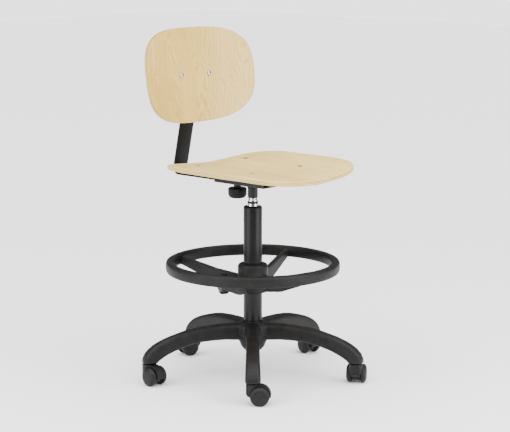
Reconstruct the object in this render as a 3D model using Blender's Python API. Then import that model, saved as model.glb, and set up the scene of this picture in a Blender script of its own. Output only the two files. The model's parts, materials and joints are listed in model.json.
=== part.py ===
"""Draughtsman's swivel stool: plywood seat and back, gas lift, foot ring, five-arm castor base.

Metres, +Z up. The sitter faces -Y. The column's axis stands at (COLUMN_X, COLUMN_Y), so that the
origin is the middle of the stool's footprint, on the floor.
"""

import math

import bmesh
import bpy
from mathutils import Matrix, Vector

# ---- driving dimensions -------------------------------------------------------------------
COLUMN_X = -0.0193
COLUMN_Y = -0.0173
GAP = 0.0003

ARM_COUNT = 5
ARM_AZIMUTH = -47.0
ARM_REACH = 0.2870
ARM_END_RADIUS = 0.0202
ARM_UNDERSIDE = 0.058
HUB_RADIUS = 0.041
HUB_BOTTOM = 0.078
HUB_TOP = 0.149

TUBE_RADIUS = 0.025
TUBE_WALL = 0.0015
TUBE_BOTTOM = 0.074
TUBE_TOP = 0.460
CYLINDER_RADIUS = 0.014
CYLINDER_BOTTOM = 0.095
COLLAR_BOTTOM = 0.4715
COLLAR_TOP = 0.477
CONE_RADIUS = 0.0108
CONE_TOP = 0.5245
SOCKET_RADIUS = 0.0135
SOCKET_BOTTOM = 0.486
ROD_RADIUS = 0.005
PISTON_HEIGHT = 0.39

RING_RADIUS = 0.233
RING_WIDTH = 0.023
RING_BOTTOM = 0.287
RING_TOP = 0.3185
RING_HUB_RADIUS = 0.0405
RING_HUB_BOTTOM = 0.2315
RING_HUB_TOP = 0.3093
RIB_AZIMUTHS = (17.5, 107.5, 197.5, 287.5)
RIB_THICKNESS = 0.014
RING_KNOB_AZIMUTH = -117.5
RING_KNOB_HEIGHT = 0.2575
RING_KNOB_RADIUS = 0.028
RING_KNOB_REACH = 0.068
RING_SCREW_RADIUS = 0.004

CHANNEL_FLOOR = 0.5205
CHANNEL_HALF_WIDTH = 0.034
PLATE_THICKNESS = 0.003
PLATE_CLEARANCE = 0.0012
PLATE_HALF_WIDTH = 0.112
PLATE_FRONT = -0.105
PLATE_REAR = 0.133
BAR_THICKNESS = 0.006
BAR_WIDTH = 0.050
BAR_FRONT = 0.036
BAR_BACK = 0.271
BAR_MIDDLE = (0.247, 0.665)
BAR_TOP = 0.832
DEPTH_KNOB_Y = 0.0565
DEPTH_KNOB_RADIUS = 0.025
DEPTH_KNOB_BOTTOM = 0.4797
DEPTH_KNOB_TOP = 0.5075
DEPTH_SCREW_RADIUS = 0.0037
DEPTH_NECK_RADIUS = 0.0098

SEAT_HALF_WIDTH = 0.2162
SEAT_HALF_LENGTH = 0.1966
SEAT_CENTRE_Y = -0.0295
SEAT_CORNER_POWER = 4.1
SEAT_HEIGHT = 0.5648
SEAT_SLOPE = 0.0077
SEAT_SIDE_RISE = 0.0176
SEAT_FRONT_DROP = 0.0093
SEAT_PLY = 0.012
SEAT_BOLT_X = 0.094
SEAT_BOLT_Y = (0.1134, -0.0834)

BACK_HALF_WIDTH = 0.2017
BACK_HALF_HEIGHT = 0.1285
BACK_CORNER_POWER = 2.95
BACK_HEIGHT = 0.8002
BACK_Y = 0.2146
BACK_PLY = 0.011
BACK_CURVE_RADIUS = 0.63
BACK_LEAN = math.radians(8.1)
BACK_BOLT_X = 0.0525
BACK_PLATE = 0.004
BOLT_RADIUS = 0.003
BOLT_HOLE_RADIUS = 0.0033

LEVER_PIVOT_X = 0.025
PIN_RADIUS = 0.0025
LEVER_HEIGHT = 0.5345
BUTTON_TOP = 0.5290

WHEEL_RADIUS = 0.025
WHEEL_INNER = 0.0128
WHEEL_OUTER = 0.0272
CASTOR_TRAIL = 0.018
CASTOR_TOP = 0.0548
HOOD_OUTER = 0.0288
HOOD_INNER = 0.0260
STEM_RADIUS = 0.0055
STEM_TOP = 0.0878
AXLE_RADIUS = 0.003
CASTOR_AZIMUTHS = (40.0, 123.0, 167.0, 253.0, -3.0)

# ---- finishes -----------------------------------------------------------------------------
FINISHES = {
    "nylon": ((0.050, 0.047, 0.047), 0.50, 0.0),
    "black_steel": ((0.022, 0.021, 0.021), 0.35, 0.3),
    "chrome": ((0.60, 0.60, 0.60), 0.12, 1.0),
    "zinc": ((0.50, 0.50, 0.49), 0.30, 1.0),
    "beech": ((0.66, 0.55, 0.36), 0.38, 0.0),
    "knob_plastic": ((0.013, 0.012, 0.011), 0.45, 0.0),
}


def clear_scene():
    for obj in list(bpy.data.objects):
        bpy.data.objects.remove(obj)


def finish(name):
    """The material of one finish, made once."""
    existing = bpy.data.materials.get(name)
    if existing:
        return existing
    colour, roughness, metallic = FINISHES[name]
    material = bpy.data.materials.new(name)
    material.use_nodes = True
    shader = material.node_tree.nodes["Principled BSDF"]
    shader.inputs["Base Color"].default_value = (*colour, 1.0)
    shader.inputs["Roughness"].default_value = roughness
    shader.inputs["Metallic"].default_value = metallic
    return material


def direction(azimuth):
    """Unit vector on the floor; 0 degrees is the stool's front, -Y, and +X is at 90."""
    angle = math.radians(azimuth)
    return Vector((math.sin(angle), -math.cos(angle), 0.0))


def turn_to(azimuth):
    """Rotation that takes +X to the direction of an azimuth."""
    return Matrix.Rotation(math.radians(azimuth - 90.0), 4, "Z")


# ---- solids -------------------------------------------------------------------------------
def as_mesh(bm, name):
    """Closes a bmesh into a mesh with its faces pointing out."""
    bmesh.ops.remove_doubles(bm, verts=bm.verts, dist=1e-6)
    bmesh.ops.recalc_face_normals(bm, faces=bm.faces)
    mesh = bpy.data.meshes.new(name)
    bm.to_mesh(mesh)
    bm.free()
    return mesh


def turned(profile, steps=24, hollow=False):
    """A turned solid about Z from (radius, height) points.

    A hollow profile is a closed loop clear of the axis; the others start and end on the axis.
    """
    bm = bmesh.new()
    verts = [bm.verts.new((radius, 0.0, height)) for radius, height in profile]
    edges = [bm.edges.new(pair) for pair in zip(verts, verts[1:])]
    if hollow:
        edges.append(bm.edges.new((verts[-1], verts[0])))
    bmesh.ops.spin(bm, geom=verts + edges, cent=(0, 0, 0), axis=(0, 0, 1), steps=steps,
                   angle=math.tau, use_merge=True)
    return as_mesh(bm, "turned")


def prism(outline, half_width):
    """A flat outline of (x, z) points given a thickness along Y."""
    bm = bmesh.new()
    verts = [bm.verts.new((x, -half_width, z)) for x, z in outline]
    face = bm.faces.new(verts)
    result = bmesh.ops.extrude_face_region(bm, geom=[face])
    moved = [item for item in result["geom"] if isinstance(item, bmesh.types.BMVert)]
    bmesh.ops.translate(bm, verts=moved, vec=(0, 2 * half_width, 0))
    return as_mesh(bm, "prism")


def loft(sections):
    """A solid through closed sections of equal point counts, capped at both ends."""
    bm = bmesh.new()
    loops = []
    for section in sections:
        verts = [bm.verts.new(point) for point in section]
        loops.append(verts)
    count = len(loops[0])
    for lower, upper in zip(loops, loops[1:]):
        for index in range(count):
            after = (index + 1) % count
            bm.faces.new((lower[index], lower[after], upper[after], upper[index]))
    bm.faces.new(loops[0][::-1])
    bm.faces.new(loops[-1])
    return as_mesh(bm, "loft")


def box(low, high):
    """A block between two corners."""
    bm = bmesh.new()
    size = [b - a for a, b in zip(low, high)]
    middle = [(a + b) / 2 for a, b in zip(low, high)]
    matrix = Matrix.Translation(middle) @ Matrix.Diagonal((*size, 1.0))
    bmesh.ops.create_cube(bm, size=1.0, matrix=matrix)
    return as_mesh(bm, "box")


def rod(radius, start, end, steps=16):
    """A plain round bar between two points."""
    start, end = Vector(start), Vector(end)
    length = (end - start).length
    mesh = turned([(0, 0), (radius, 0), (radius, length), (0, length)], steps)
    turn = Vector((0, 0, 1)).rotation_difference(end - start).to_matrix().to_4x4()
    mesh.transform(Matrix.Translation(start) @ turn)
    return mesh


def placed(mesh, matrix):
    """The same mesh, moved."""
    mesh.transform(matrix)
    return mesh


def combine(base, add=(), cut=()):
    """One mesh: the base with solids added and others cut away."""
    holder = bpy.data.objects.new("holder", base)
    bpy.context.collection.objects.link(holder)
    tools = []
    for operation, meshes in (("UNION", add), ("DIFFERENCE", cut)):
        for mesh in meshes:
            tool = bpy.data.objects.new("tool", mesh)
            bpy.context.collection.objects.link(tool)
            modifier = holder.modifiers.new(operation, "BOOLEAN")
            modifier.operation = operation
            modifier.object = tool
            tools.append(tool)
    graph = bpy.context.evaluated_depsgraph_get()
    result = bpy.data.meshes.new_from_object(holder.evaluated_get(graph))
    for obj in [holder, *tools]:
        bpy.data.objects.remove(obj)
    return result


def piece(name, mesh, material, parent, location=(0, 0, 0), azimuth=None):
    """A named sub-part with its origin on its joint's axis."""
    mesh.materials.clear()
    mesh.materials.append(finish(material))
    mesh.shade_smooth()
    mesh.set_sharp_from_angle(angle=math.radians(35))
    obj = bpy.data.objects.new(name, mesh)
    bpy.context.collection.objects.link(obj)
    obj.parent = parent
    obj.location = location
    if azimuth is not None:
        obj.rotation_euler = (0, 0, math.radians(azimuth - 90.0))
    return obj


def arc(centre, radius, start, end, steps):
    """Points on an arc, angles in degrees."""
    points = []
    for index in range(steps + 1):
        angle = math.radians(start + (end - start) * index / steps)
        points.append((centre[0] + radius * math.cos(angle), centre[1] + radius * math.sin(angle)))
    return points


# ---- star base ----------------------------------------------------------------------------
def arm_section(reach, height, tilt, half_width, half_height):
    """A rounded arm section at a reach, square to a centre line that falls by tilt degrees."""
    fall = math.radians(tilt)
    up = Vector((math.sin(fall), 0, math.cos(fall)))
    middle = Vector((reach, 0, height))
    points = []
    for index in range(12):
        angle = math.tau * (index + 0.5) / 12
        across = half_width * math.copysign(abs(math.cos(angle)) ** 0.55, math.cos(angle))
        rise = half_height * math.copysign(abs(math.sin(angle)) ** 0.55, math.sin(angle))
        points.append(middle + up * rise + Vector((0, across, 0)))
    return points


def arm_mesh():
    """One arm along +X: level at the hub, falling to a down-turned round end."""
    stations = (
        (0.010, 0.1235, 0.0, 0.0185, 0.0250),
        (0.080, 0.1270, 3.0, 0.0180, 0.0218),
        (0.150, 0.1235, 10.0, 0.0178, 0.0200),
        (0.205, 0.1110, 17.0, 0.0182, 0.0198),
        (0.248, 0.0950, 26.0, 0.0188, 0.0205),
        (0.2735, 0.0800, 48.0, 0.0197, 0.0208),
        (0.2858, 0.0660, 78.0, 0.0201, 0.0204),
        (ARM_REACH, ARM_UNDERSIDE, 90.0, ARM_END_RADIUS, ARM_END_RADIUS),
    )
    return loft([arm_section(*station) for station in stations])


def build_base(parent):
    hub = turned([(0, HUB_BOTTOM), (HUB_RADIUS - 0.012, HUB_BOTTOM),
                  (HUB_RADIUS - 0.010, HUB_BOTTOM + 0.006), (HUB_RADIUS - 0.003, HUB_BOTTOM + 0.020),
                  (HUB_RADIUS, HUB_BOTTOM + 0.030),
                  (HUB_RADIUS, HUB_TOP - 0.012), (HUB_RADIUS - 0.004, HUB_TOP - 0.003),
                  (HUB_RADIUS - 0.010, HUB_TOP), (0, HUB_TOP)], 28)
    arms = []
    sockets = []
    for index in range(ARM_COUNT):
        azimuth = ARM_AZIMUTH + 360.0 / ARM_COUNT * index
        arms.append(placed(arm_mesh(), turn_to(azimuth)))
        foot = direction(azimuth) * ARM_REACH
        socket_top = foot + Vector((0, 0, STEM_TOP + 2 * GAP))
        sockets.append(rod(STEM_RADIUS + GAP, foot + Vector((0, 0, 0.05)), socket_top, 12))
    bore = rod(TUBE_RADIUS + GAP, (0, 0, 0.0), (0, 0, 0.2), 28)
    piece("star_base", combine(hub, arms, [bore, *sockets]), "nylon", parent)
    collar = [(TUBE_RADIUS + GAP, HUB_TOP + GAP), (0.0292, HUB_TOP + GAP), (0.0292, 0.1520),
              (0.0280, 0.1535), (TUBE_RADIUS + GAP, 0.1535)]
    piece("base_collar", turned(collar, 28, hollow=True), "knob_plastic", parent)


# ---- castors ------------------------------------------------------------------------------
def castor_housing_mesh():
    """A hooded body between the wheels; +X is the trail, the swivel axis is Z."""
    web = [(-0.0175, CASTOR_TOP), (-0.0175, 0.0330), (-0.0163, 0.0275), (-0.0135, 0.0235), (-0.0095, 0.0215),
           *arc((CASTOR_TRAIL, WHEEL_RADIUS), 0.0195, 200, 340, 5), (0.0425, 0.0205), (0.0455, 0.0215),
           *arc((CASTOR_TRAIL, WHEEL_RADIUS), HOOD_OUTER, 2, 80, 4), (0.012, CASTOR_TOP)]
    core = prism(web, WHEEL_INNER - 0.0006)
    boss = rod(0.0175, (0, 0, 0.030), (0, 0, CASTOR_TOP), 14)
    wheel_room = rod(HOOD_INNER, (CASTOR_TRAIL, WHEEL_INNER - 0.0006, WHEEL_RADIUS),
                     (CASTOR_TRAIL, 0.04, WHEEL_RADIUS), 16)
    other_room = rod(HOOD_INNER, (CASTOR_TRAIL, -0.04, WHEEL_RADIUS),
                     (CASTOR_TRAIL, 0.0006 - WHEEL_INNER, WHEEL_RADIUS), 16)
    axle_hole = rod(AXLE_RADIUS + GAP, (CASTOR_TRAIL, -0.03, WHEEL_RADIUS),
                    (CASTOR_TRAIL, 0.03, WHEEL_RADIUS), 10)
    stem_hole = rod(STEM_RADIUS + GAP, (0, 0, 0.0385), (0, 0, 0.07), 12)
    return combine(core, [boss], [wheel_room, other_room, axle_hole, stem_hole])


def castor_stem_mesh():
    return turned([(0, 0.039), (STEM_RADIUS, 0.039), (STEM_RADIUS, CASTOR_TOP + GAP),
                   (0.0095, CASTOR_TOP + GAP), (0.0095, ARM_UNDERSIDE - 2 * GAP),
                   (STEM_RADIUS, ARM_UNDERSIDE - 2 * GAP), (STEM_RADIUS, STEM_TOP - 0.0018),
                   (0.0040, STEM_TOP), (0, STEM_TOP)], 12)


def castor_wheel_mesh(side):
    """A wheel with a dished outer face on one side (+1 or -1) of the web, at the axle's origin."""
    width = WHEEL_OUTER - WHEEL_INNER
    profile = [(AXLE_RADIUS + GAP, 0.0), (WHEEL_RADIUS - 0.0025, 0.0), (WHEEL_RADIUS - 0.0005, 0.0015),
               (WHEEL_RADIUS, 0.0035), (WHEEL_RADIUS, 0.0065), (WHEEL_RADIUS - 0.0008, 0.0090),
               (WHEEL_RADIUS - 0.0030, 0.0115), (WHEEL_RADIUS - 0.0065, 0.0132),
               (WHEEL_RADIUS - 0.0120, width), (AXLE_RADIUS + GAP, width)]
    mesh = turned(profile, 20, hollow=True)
    return placed(mesh, Matrix.Translation((0, side * WHEEL_INNER, 0))
                  @ Matrix.Rotation(math.radians(-90 * side), 4, "X"))


def build_castors(parent):
    housing = castor_housing_mesh()
    stem = castor_stem_mesh()
    axle = rod(AXLE_RADIUS, (0, -WHEEL_OUTER + 0.001, 0), (0, WHEEL_OUTER - 0.001, 0), 10)
    wheels = {"left": castor_wheel_mesh(1), "right": castor_wheel_mesh(-1)}
    for index in range(ARM_COUNT):
        number = index + 1
        foot = direction(ARM_AZIMUTH + 360.0 / ARM_COUNT * index) * ARM_REACH
        trail = CASTOR_AZIMUTHS[index]
        hub = foot + direction(trail) * CASTOR_TRAIL + Vector((0, 0, WHEEL_RADIUS))
        piece(f"castor_{number}_housing", housing, "nylon", parent, foot, trail)
        piece(f"castor_{number}_stem", stem, "zinc", parent, foot, trail)
        piece(f"castor_{number}_axle", axle, "zinc", parent, hub, trail)
        for side, mesh in wheels.items():
            piece(f"castor_{number}_wheel_{side}", mesh, "nylon", parent, hub, trail)


# ---- column and gas lift ------------------------------------------------------------------
def build_column(parent):
    inner = TUBE_RADIUS - TUBE_WALL
    tube = [(inner, TUBE_BOTTOM), (TUBE_RADIUS, TUBE_BOTTOM), (TUBE_RADIUS, TUBE_TOP - 0.001),
            (TUBE_RADIUS - 0.0005, TUBE_TOP), (inner, TUBE_TOP)]
    piece("column_tube", turned(tube, 28, hollow=True), "black_steel", parent)
    slide = CYLINDER_RADIUS + GAP
    bush = [(slide, 0.360), (inner - GAP, 0.360), (inner - GAP, TUBE_TOP + GAP),
            (TUBE_RADIUS, TUBE_TOP + GAP), (TUBE_RADIUS - 0.0010, TUBE_TOP + 0.0028),
            (TUBE_RADIUS - 0.0035, TUBE_TOP + 0.0045), (slide, TUBE_TOP + 0.0045)]
    piece("guide_bush", turned(bush, 28, hollow=True), "knob_plastic", parent)
    floor = [(ROD_RADIUS + GAP, 0.078), (inner - GAP, 0.078), (inner - GAP, 0.082),
             (ROD_RADIUS + GAP, 0.082)]
    piece("column_floor", turned(floor, 28, hollow=True), "black_steel", parent)
    bearing = [(ROD_RADIUS + GAP, 0.0823), (0.0120, 0.0823), (0.0120, 0.0853), (ROD_RADIUS + GAP, 0.0853)]
    piece("thrust_bearing", turned(bearing, 20, hollow=True), "zinc", parent)
    clip = [(0.0036 + GAP, 0.0756), (0.0080, 0.0756), (0.0080, 0.0768), (0.0036 + GAP, 0.0768)]
    piece("rod_clip", turned(clip, 16, hollow=True), "zinc", parent)
    stem = [(0, 0.0742), (ROD_RADIUS - 0.0002, 0.0742), (ROD_RADIUS - 0.0002, 0.0753), (0.0036, 0.0753),
            (0.0036, 0.0771), (ROD_RADIUS, 0.0771), (ROD_RADIUS, PISTON_HEIGHT), (0.0108, PISTON_HEIGHT),
            (0.0108, PISTON_HEIGHT + 0.014), (0, PISTON_HEIGHT + 0.014)]
    piece("piston_rod", turned(stem, 16), "chrome", parent)


def build_lift(parent):
    bore = 0.0113
    cylinder = [(ROD_RADIUS + GAP, CYLINDER_BOTTOM), (CYLINDER_RADIUS - 0.001, CYLINDER_BOTTOM),
                (CYLINDER_RADIUS, CYLINDER_BOTTOM + 0.001), (CYLINDER_RADIUS, COLLAR_BOTTOM - GAP),
                (0.0122, COLLAR_BOTTOM - GAP), (0.0122, COLLAR_TOP + GAP), (0.0132, COLLAR_TOP + GAP),
                (CONE_RADIUS, SOCKET_BOTTOM - 0.0015), (CONE_RADIUS - 0.0004, CONE_TOP), (0.0034, CONE_TOP),
                (0.0034, 0.5190), (0.0008, 0.5190), (0.0008, 0.4450), (bore, 0.4350),
                (bore, CYLINDER_BOTTOM + 0.012), (ROD_RADIUS + GAP, CYLINDER_BOTTOM + 0.012)]
    piece("gas_cylinder", turned(cylinder, 24, hollow=True), "chrome", parent)
    collar = [(0.0122 + GAP, COLLAR_BOTTOM), (0.0136, COLLAR_BOTTOM), (0.0141, 0.4725), (0.0141, 0.4760),
              (0.0136, COLLAR_TOP), (0.0122 + GAP, COLLAR_TOP)]
    piece("cylinder_collar", turned(collar, 24, hollow=True), "knob_plastic", parent)
    button = turned([(0, 0.5232), (0.0030, 0.5232), (0.0030, BUTTON_TOP - 0.0008), (0.0022, BUTTON_TOP),
                     (0, BUTTON_TOP)], 16)
    piece("release_button", button, "zinc", parent)


# ---- seat ---------------------------------------------------------------------------------
def seat_top(x, y):
    """Height of the seat's upper face: a dish between raised sides, and a falling front edge."""
    side = abs(x) / SEAT_HALF_WIDTH
    front = max(0.0, -0.138 - y) / 0.1
    rise = SEAT_SIDE_RISE * side ** 1.35 - SEAT_FRONT_DROP * front ** 2
    return SEAT_HEIGHT + SEAT_SLOPE * (y - 0.015) + rise


def rounded_form(half_x, half_y, power, angle):
    """The point of a superellipse in the direction of an angle."""
    cosine, sine = math.cos(angle), math.sin(angle)
    reach = (abs(cosine / half_x) ** power + abs(sine / half_y) ** power) ** (-1 / power)
    return reach * cosine, reach * sine


def ply_sheet(half_x, half_y, power, rings, steps, surface, thickness):
    """A curved plywood sheet: rings of a rounded form, lifted onto a surface and given a thickness.

    surface(u, v) gives the upper point, thickness(u, v) the vector to the lower one.
    """
    bm = bmesh.new()
    shells = []
    for lower in (False, True):
        loops = []
        for ring in range(1, rings + 1):
            scale = ring / rings
            loop = []
            for step in range(steps):
                angle = math.tau * (step + 0.5) / steps
                u, v = rounded_form(half_x * scale, half_y * scale, power, angle)
                point = surface(u, v) + (thickness(u, v) if lower else Vector((0, 0, 0)))
                loop.append(bm.verts.new(point))
            loops.append(loop)
        centre = surface(0, 0) + (thickness(0, 0) if lower else Vector((0, 0, 0)))
        shells.append((bm.verts.new(centre), loops))
    for middle, loops in shells:
        for step in range(steps):
            after = (step + 1) % steps
            bm.faces.new((middle, loops[0][step], loops[0][after]))
            for inner, outer in zip(loops, loops[1:]):
                bm.faces.new((inner[step], outer[step], outer[after], inner[after]))
    top, bottom = shells[0][1][-1], shells[1][1][-1]
    for step in range(steps):
        after = (step + 1) % steps
        bm.faces.new((top[step], bottom[step], bottom[after], top[after]))
    return as_mesh(bm, "ply")


def build_seat(parent):
    def surface(u, v):
        y = SEAT_CENTRE_Y + v
        return Vector((u, y, seat_top(u, y)))

    def thickness(u, v):
        return Vector((0, 0, -SEAT_PLY))

    shell = ply_sheet(SEAT_HALF_WIDTH, SEAT_HALF_LENGTH, SEAT_CORNER_POWER, 4, 44, surface, thickness)
    holes = []
    bolts = []
    for y in SEAT_BOLT_Y:
        for x in (-SEAT_BOLT_X, SEAT_BOLT_X):
            height = seat_top(x, y)
            holes.append(rod(BOLT_HOLE_RADIUS, (x, y, height - 0.02), (x, y, height + 0.01), 10))
            holes.append(rod(0.0083, (x, y, height - 0.0028), (x, y, height + 0.01), 12))
            bolts.append((x, y, height))
    piece("seat_shell", combine(shell, (), holes), "beech", parent)
    bolt = turned([(0, -0.0205), (BOLT_RADIUS, -0.0205), (BOLT_RADIUS, -0.0025), (0.0078, -0.0025),
                   (0.0078, -0.0012), (0.0050, -0.0002), (0, 0.0002)], 12)
    for number, spot in enumerate(bolts, 1):
        piece(f"seat_bolt_{number}", bolt, "zinc", parent, spot)
    build_mount_plate(parent, bolts)


def build_mount_plate(parent, bolts):
    """The pressed-steel mount: a sloped top plate over a channel that guides the back bar."""
    def under(x, y):
        return seat_top(x, y) - SEAT_PLY - PLATE_CLEARANCE

    across = [-PLATE_HALF_WIDTH, -0.075, -0.040, 0.0, 0.040, 0.075, PLATE_HALF_WIDTH]
    sections = []
    for y in (PLATE_FRONT, PLATE_REAR):
        upper = [(x, y, under(x, y)) for x in across]
        sections.append(upper + [(x, y, z - PLATE_THICKNESS) for x, y, z in upper[::-1]])
    top_plate = loft(sections)
    webs = []
    for side in (-1, 1):
        web = prism([(-0.070, CHANNEL_FLOOR), (0.110, CHANNEL_FLOOR), (0.110, under(0, 0.110) - 0.001),
                     (-0.070, under(0, -0.070) - 0.001)], PLATE_THICKNESS / 2)
        web = placed(web, Matrix.Rotation(math.radians(90), 4, "Z"))
        webs.append(placed(web, Matrix.Translation((side * (CHANNEL_HALF_WIDTH - 0.0015), 0, 0))))
    floor = box((-CHANNEL_HALF_WIDTH, -0.070, CHANNEL_FLOOR),
                (CHANNEL_HALF_WIDTH, 0.110, CHANNEL_FLOOR + PLATE_THICKNESS))
    ears = []
    for side in (-1, 1):
        near, far = sorted((side * 0.0105, side * 0.0135))
        ears.append(box((0.019, near, CHANNEL_FLOOR + 0.001), (0.0325, far, LEVER_HEIGHT + 0.005)))
    pin_spot = Vector((LEVER_PIVOT_X, 0, LEVER_HEIGHT))
    half_pin = Vector((0, 0.015, 0))
    cuts = [rod(SOCKET_RADIUS + GAP, (0, 0, 0.50), (0, 0, 0.54), 24),
            rod(PIN_RADIUS + GAP, pin_spot - half_pin, pin_spot + half_pin, 12),
            rod(DEPTH_SCREW_RADIUS + 2 * GAP, (0, DEPTH_KNOB_Y, 0.50), (0, DEPTH_KNOB_Y, 0.53), 16),
            box((0.020, -0.0075, 0.5265), (0.045, 0.0075, 0.5425))]
    for x, y, height in bolts:
        cuts.append(rod(BOLT_HOLE_RADIUS, (x, y, height - 0.03), (x, y, height), 12))
    piece("mount_plate", combine(top_plate, [*webs, floor, *ears], cuts), "black_steel", parent)
    bore = CONE_RADIUS + GAP
    socket = [(bore, SOCKET_BOTTOM), (SOCKET_RADIUS, SOCKET_BOTTOM), (SOCKET_RADIUS, 0.512),
              (0.0190, 0.5180), (0.0190, CHANNEL_FLOOR - GAP), (SOCKET_RADIUS, CHANNEL_FLOOR - GAP),
              (SOCKET_RADIUS, CHANNEL_FLOOR + 0.0045), (bore, CHANNEL_FLOOR + 0.0045)]
    piece("seat_socket", turned(socket, 24, hollow=True), "black_steel", parent)
    pin = rod(PIN_RADIUS, pin_spot - half_pin, pin_spot + half_pin, 12)
    piece("lever_pin", pin, "zinc", parent)


def build_lever(parent):
    """A flat finger over the release button, a round arm out to the side and a moulded grip."""
    pivot = Vector((LEVER_PIVOT_X, 0, LEVER_HEIGHT))
    finger = box((-0.033, -0.006, -0.0050), (0.012, 0.006, 0.0010))
    finger_boss = rod(0.0050, (0, -0.006, 0), (0, 0.006, 0), 16)
    arm = rod(0.0040, (0.004, 0, 0.0), (0.172, 0, -0.002), 12)
    eye = rod(PIN_RADIUS + GAP, (0, -0.02, 0), (0, 0.02, 0), 12)
    piece("release_lever", combine(finger, [finger_boss, arm], [eye]), "black_steel", parent, pivot)
    grip = turned([(0, 0.036), (0.0040 + GAP, 0.036), (0.0040 + GAP, 0.0), (0.0060, 0.0), (0.0075, 0.006),
                   (0.0082, 0.040), (0.0060, 0.051), (0, 0.052)], 20)
    lay = Matrix.Rotation(math.radians(90.7), 4, "Y")
    grip = placed(grip, Matrix.Translation((0.140, 0, -0.0016)) @ lay)
    piece("lever_grip", grip, "knob_plastic", parent, pivot)


# ---- back ---------------------------------------------------------------------------------
def bar_centre_line():
    """The bar's centre line as (y, z): level under the seat, a bend, then up and against the back."""
    level = CHANNEL_FLOOR + 0.003 + GAP + BAR_THICKNESS / 2
    bend = 0.016
    start = Vector((BAR_BACK - 0.014, level + bend))
    middle = Vector(BAR_MIDDLE)
    behind = (BACK_PLY + BACK_PLATE + 2 * GAP + BAR_THICKNESS / 2) / math.cos(BACK_LEAN)

    def against_back(z):
        return Vector((BACK_Y + behind + (z - BACK_HEIGHT) * math.tan(BACK_LEAN), z))

    upright = math.degrees(math.atan2(middle.y - level - bend, BAR_BACK - middle.x))
    points = [(BAR_FRONT, level), tuple(start - Vector((0, bend)))]
    points += arc(start, bend, -90, 90 - upright, 6)[1:]
    points += [tuple(middle), tuple(against_back(0.762)), tuple(against_back(BAR_TOP))]
    return points


def ribbon(points, thickness):
    """The outline of a strip of even thickness along a centre line."""
    left, right = [], []
    for index, (y, z) in enumerate(points):
        before = points[max(index - 1, 0)]
        after = points[min(index + 1, len(points) - 1)]
        run = Vector((after[0] - before[0], after[1] - before[1])).normalized()
        normal = Vector((-run.y, run.x)) * thickness / 2
        left.append((y + normal.x, z + normal.y))
        right.append((y - normal.x, z - normal.y))
    return left + right[::-1]


def build_back(parent):
    to_row = Matrix.Rotation(math.radians(90), 4, "Z")
    bar = placed(prism(ribbon(bar_centre_line(), BAR_THICKNESS), BAR_WIDTH / 2), to_row)
    piece("back_bar", bar, "black_steel", parent)
    lean = Matrix.Translation((0, BACK_Y, BACK_HEIGHT)) @ Matrix.Rotation(-BACK_LEAN, 4, "X")

    def curl(u):
        return BACK_CURVE_RADIUS - math.sqrt(BACK_CURVE_RADIUS ** 2 - u ** 2)

    def surface(u, v):
        return Vector((u, -curl(u), v))

    def thickness(u, v):
        turn = math.asin(u / BACK_CURVE_RADIUS)
        return Vector((math.sin(turn), math.cos(turn), 0)) * BACK_PLY

    shell = ply_sheet(BACK_HALF_WIDTH, BACK_HALF_HEIGHT, BACK_CORNER_POWER, 4, 40, surface, thickness)
    spots = [Vector((side * BACK_BOLT_X, 0, 0)) for side in (-1, 1)]
    reach = Vector((0, 0.03, 0))
    holes = [rod(BOLT_HOLE_RADIUS, spot - reach, spot + reach, 12) for spot in spots]
    piece("back_shell", placed(combine(shell, (), holes), lean), "beech", parent)
    plate_front = BACK_PLY + GAP
    plate = box((-0.070, plate_front, -0.024), (0.070, plate_front + BACK_PLATE, 0.024))
    holes = [rod(BOLT_HOLE_RADIUS, spot - reach, spot + reach, 12) for spot in spots]
    piece("back_plate", placed(combine(plate, (), holes), lean), "black_steel", parent)
    nut_front = plate_front + BACK_PLATE + GAP
    length = nut_front + 0.0060 + curl(BACK_BOLT_X)
    for number, spot in enumerate(spots, 1):
        bolt = turned([(0, -length), (BOLT_RADIUS, -length), (BOLT_RADIUS, 0.0010), (0.0072, 0.0010),
                       (0.0066, 0.0024), (0.0042, 0.0038), (0, 0.0043)], 12)
        turn = Matrix.Translation((spot.x, -curl(BACK_BOLT_X), 0))
        turn @= Matrix.Rotation(math.radians(90), 4, "X")
        piece(f"back_bolt_{number}", placed(bolt, lean @ turn), "zinc", parent)
        nut = turned([(0.0037, 0.0), (0.0058, 0.0), (0.0058, 0.0045), (0.0037, 0.0045)], 6, hollow=True)
        turn = Matrix.Translation((spot.x, nut_front, 0)) @ Matrix.Rotation(math.radians(-90), 4, "X")
        piece(f"back_nut_{number}", placed(nut, lean @ turn), "zinc", parent)


# ---- knobs --------------------------------------------------------------------------------
def fluted_knob(radius, depth, flutes, height, steps):
    """A knob about Z from 0 to height, its side waved by flutes."""
    def section(scale, z):
        points = []
        for step in range(steps):
            angle = math.tau * step / steps
            reach = (radius - depth * (0.5 - 0.5 * math.cos(flutes * angle))) * scale
            points.append((reach * math.cos(angle), reach * math.sin(angle), z))
        return points

    return loft([section(0.86, 0.0), section(0.97, 0.0025), section(1.0, 0.006),
                 section(1.0, height - 0.004), section(0.96, height - 0.001), section(0.90, height)])


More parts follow.
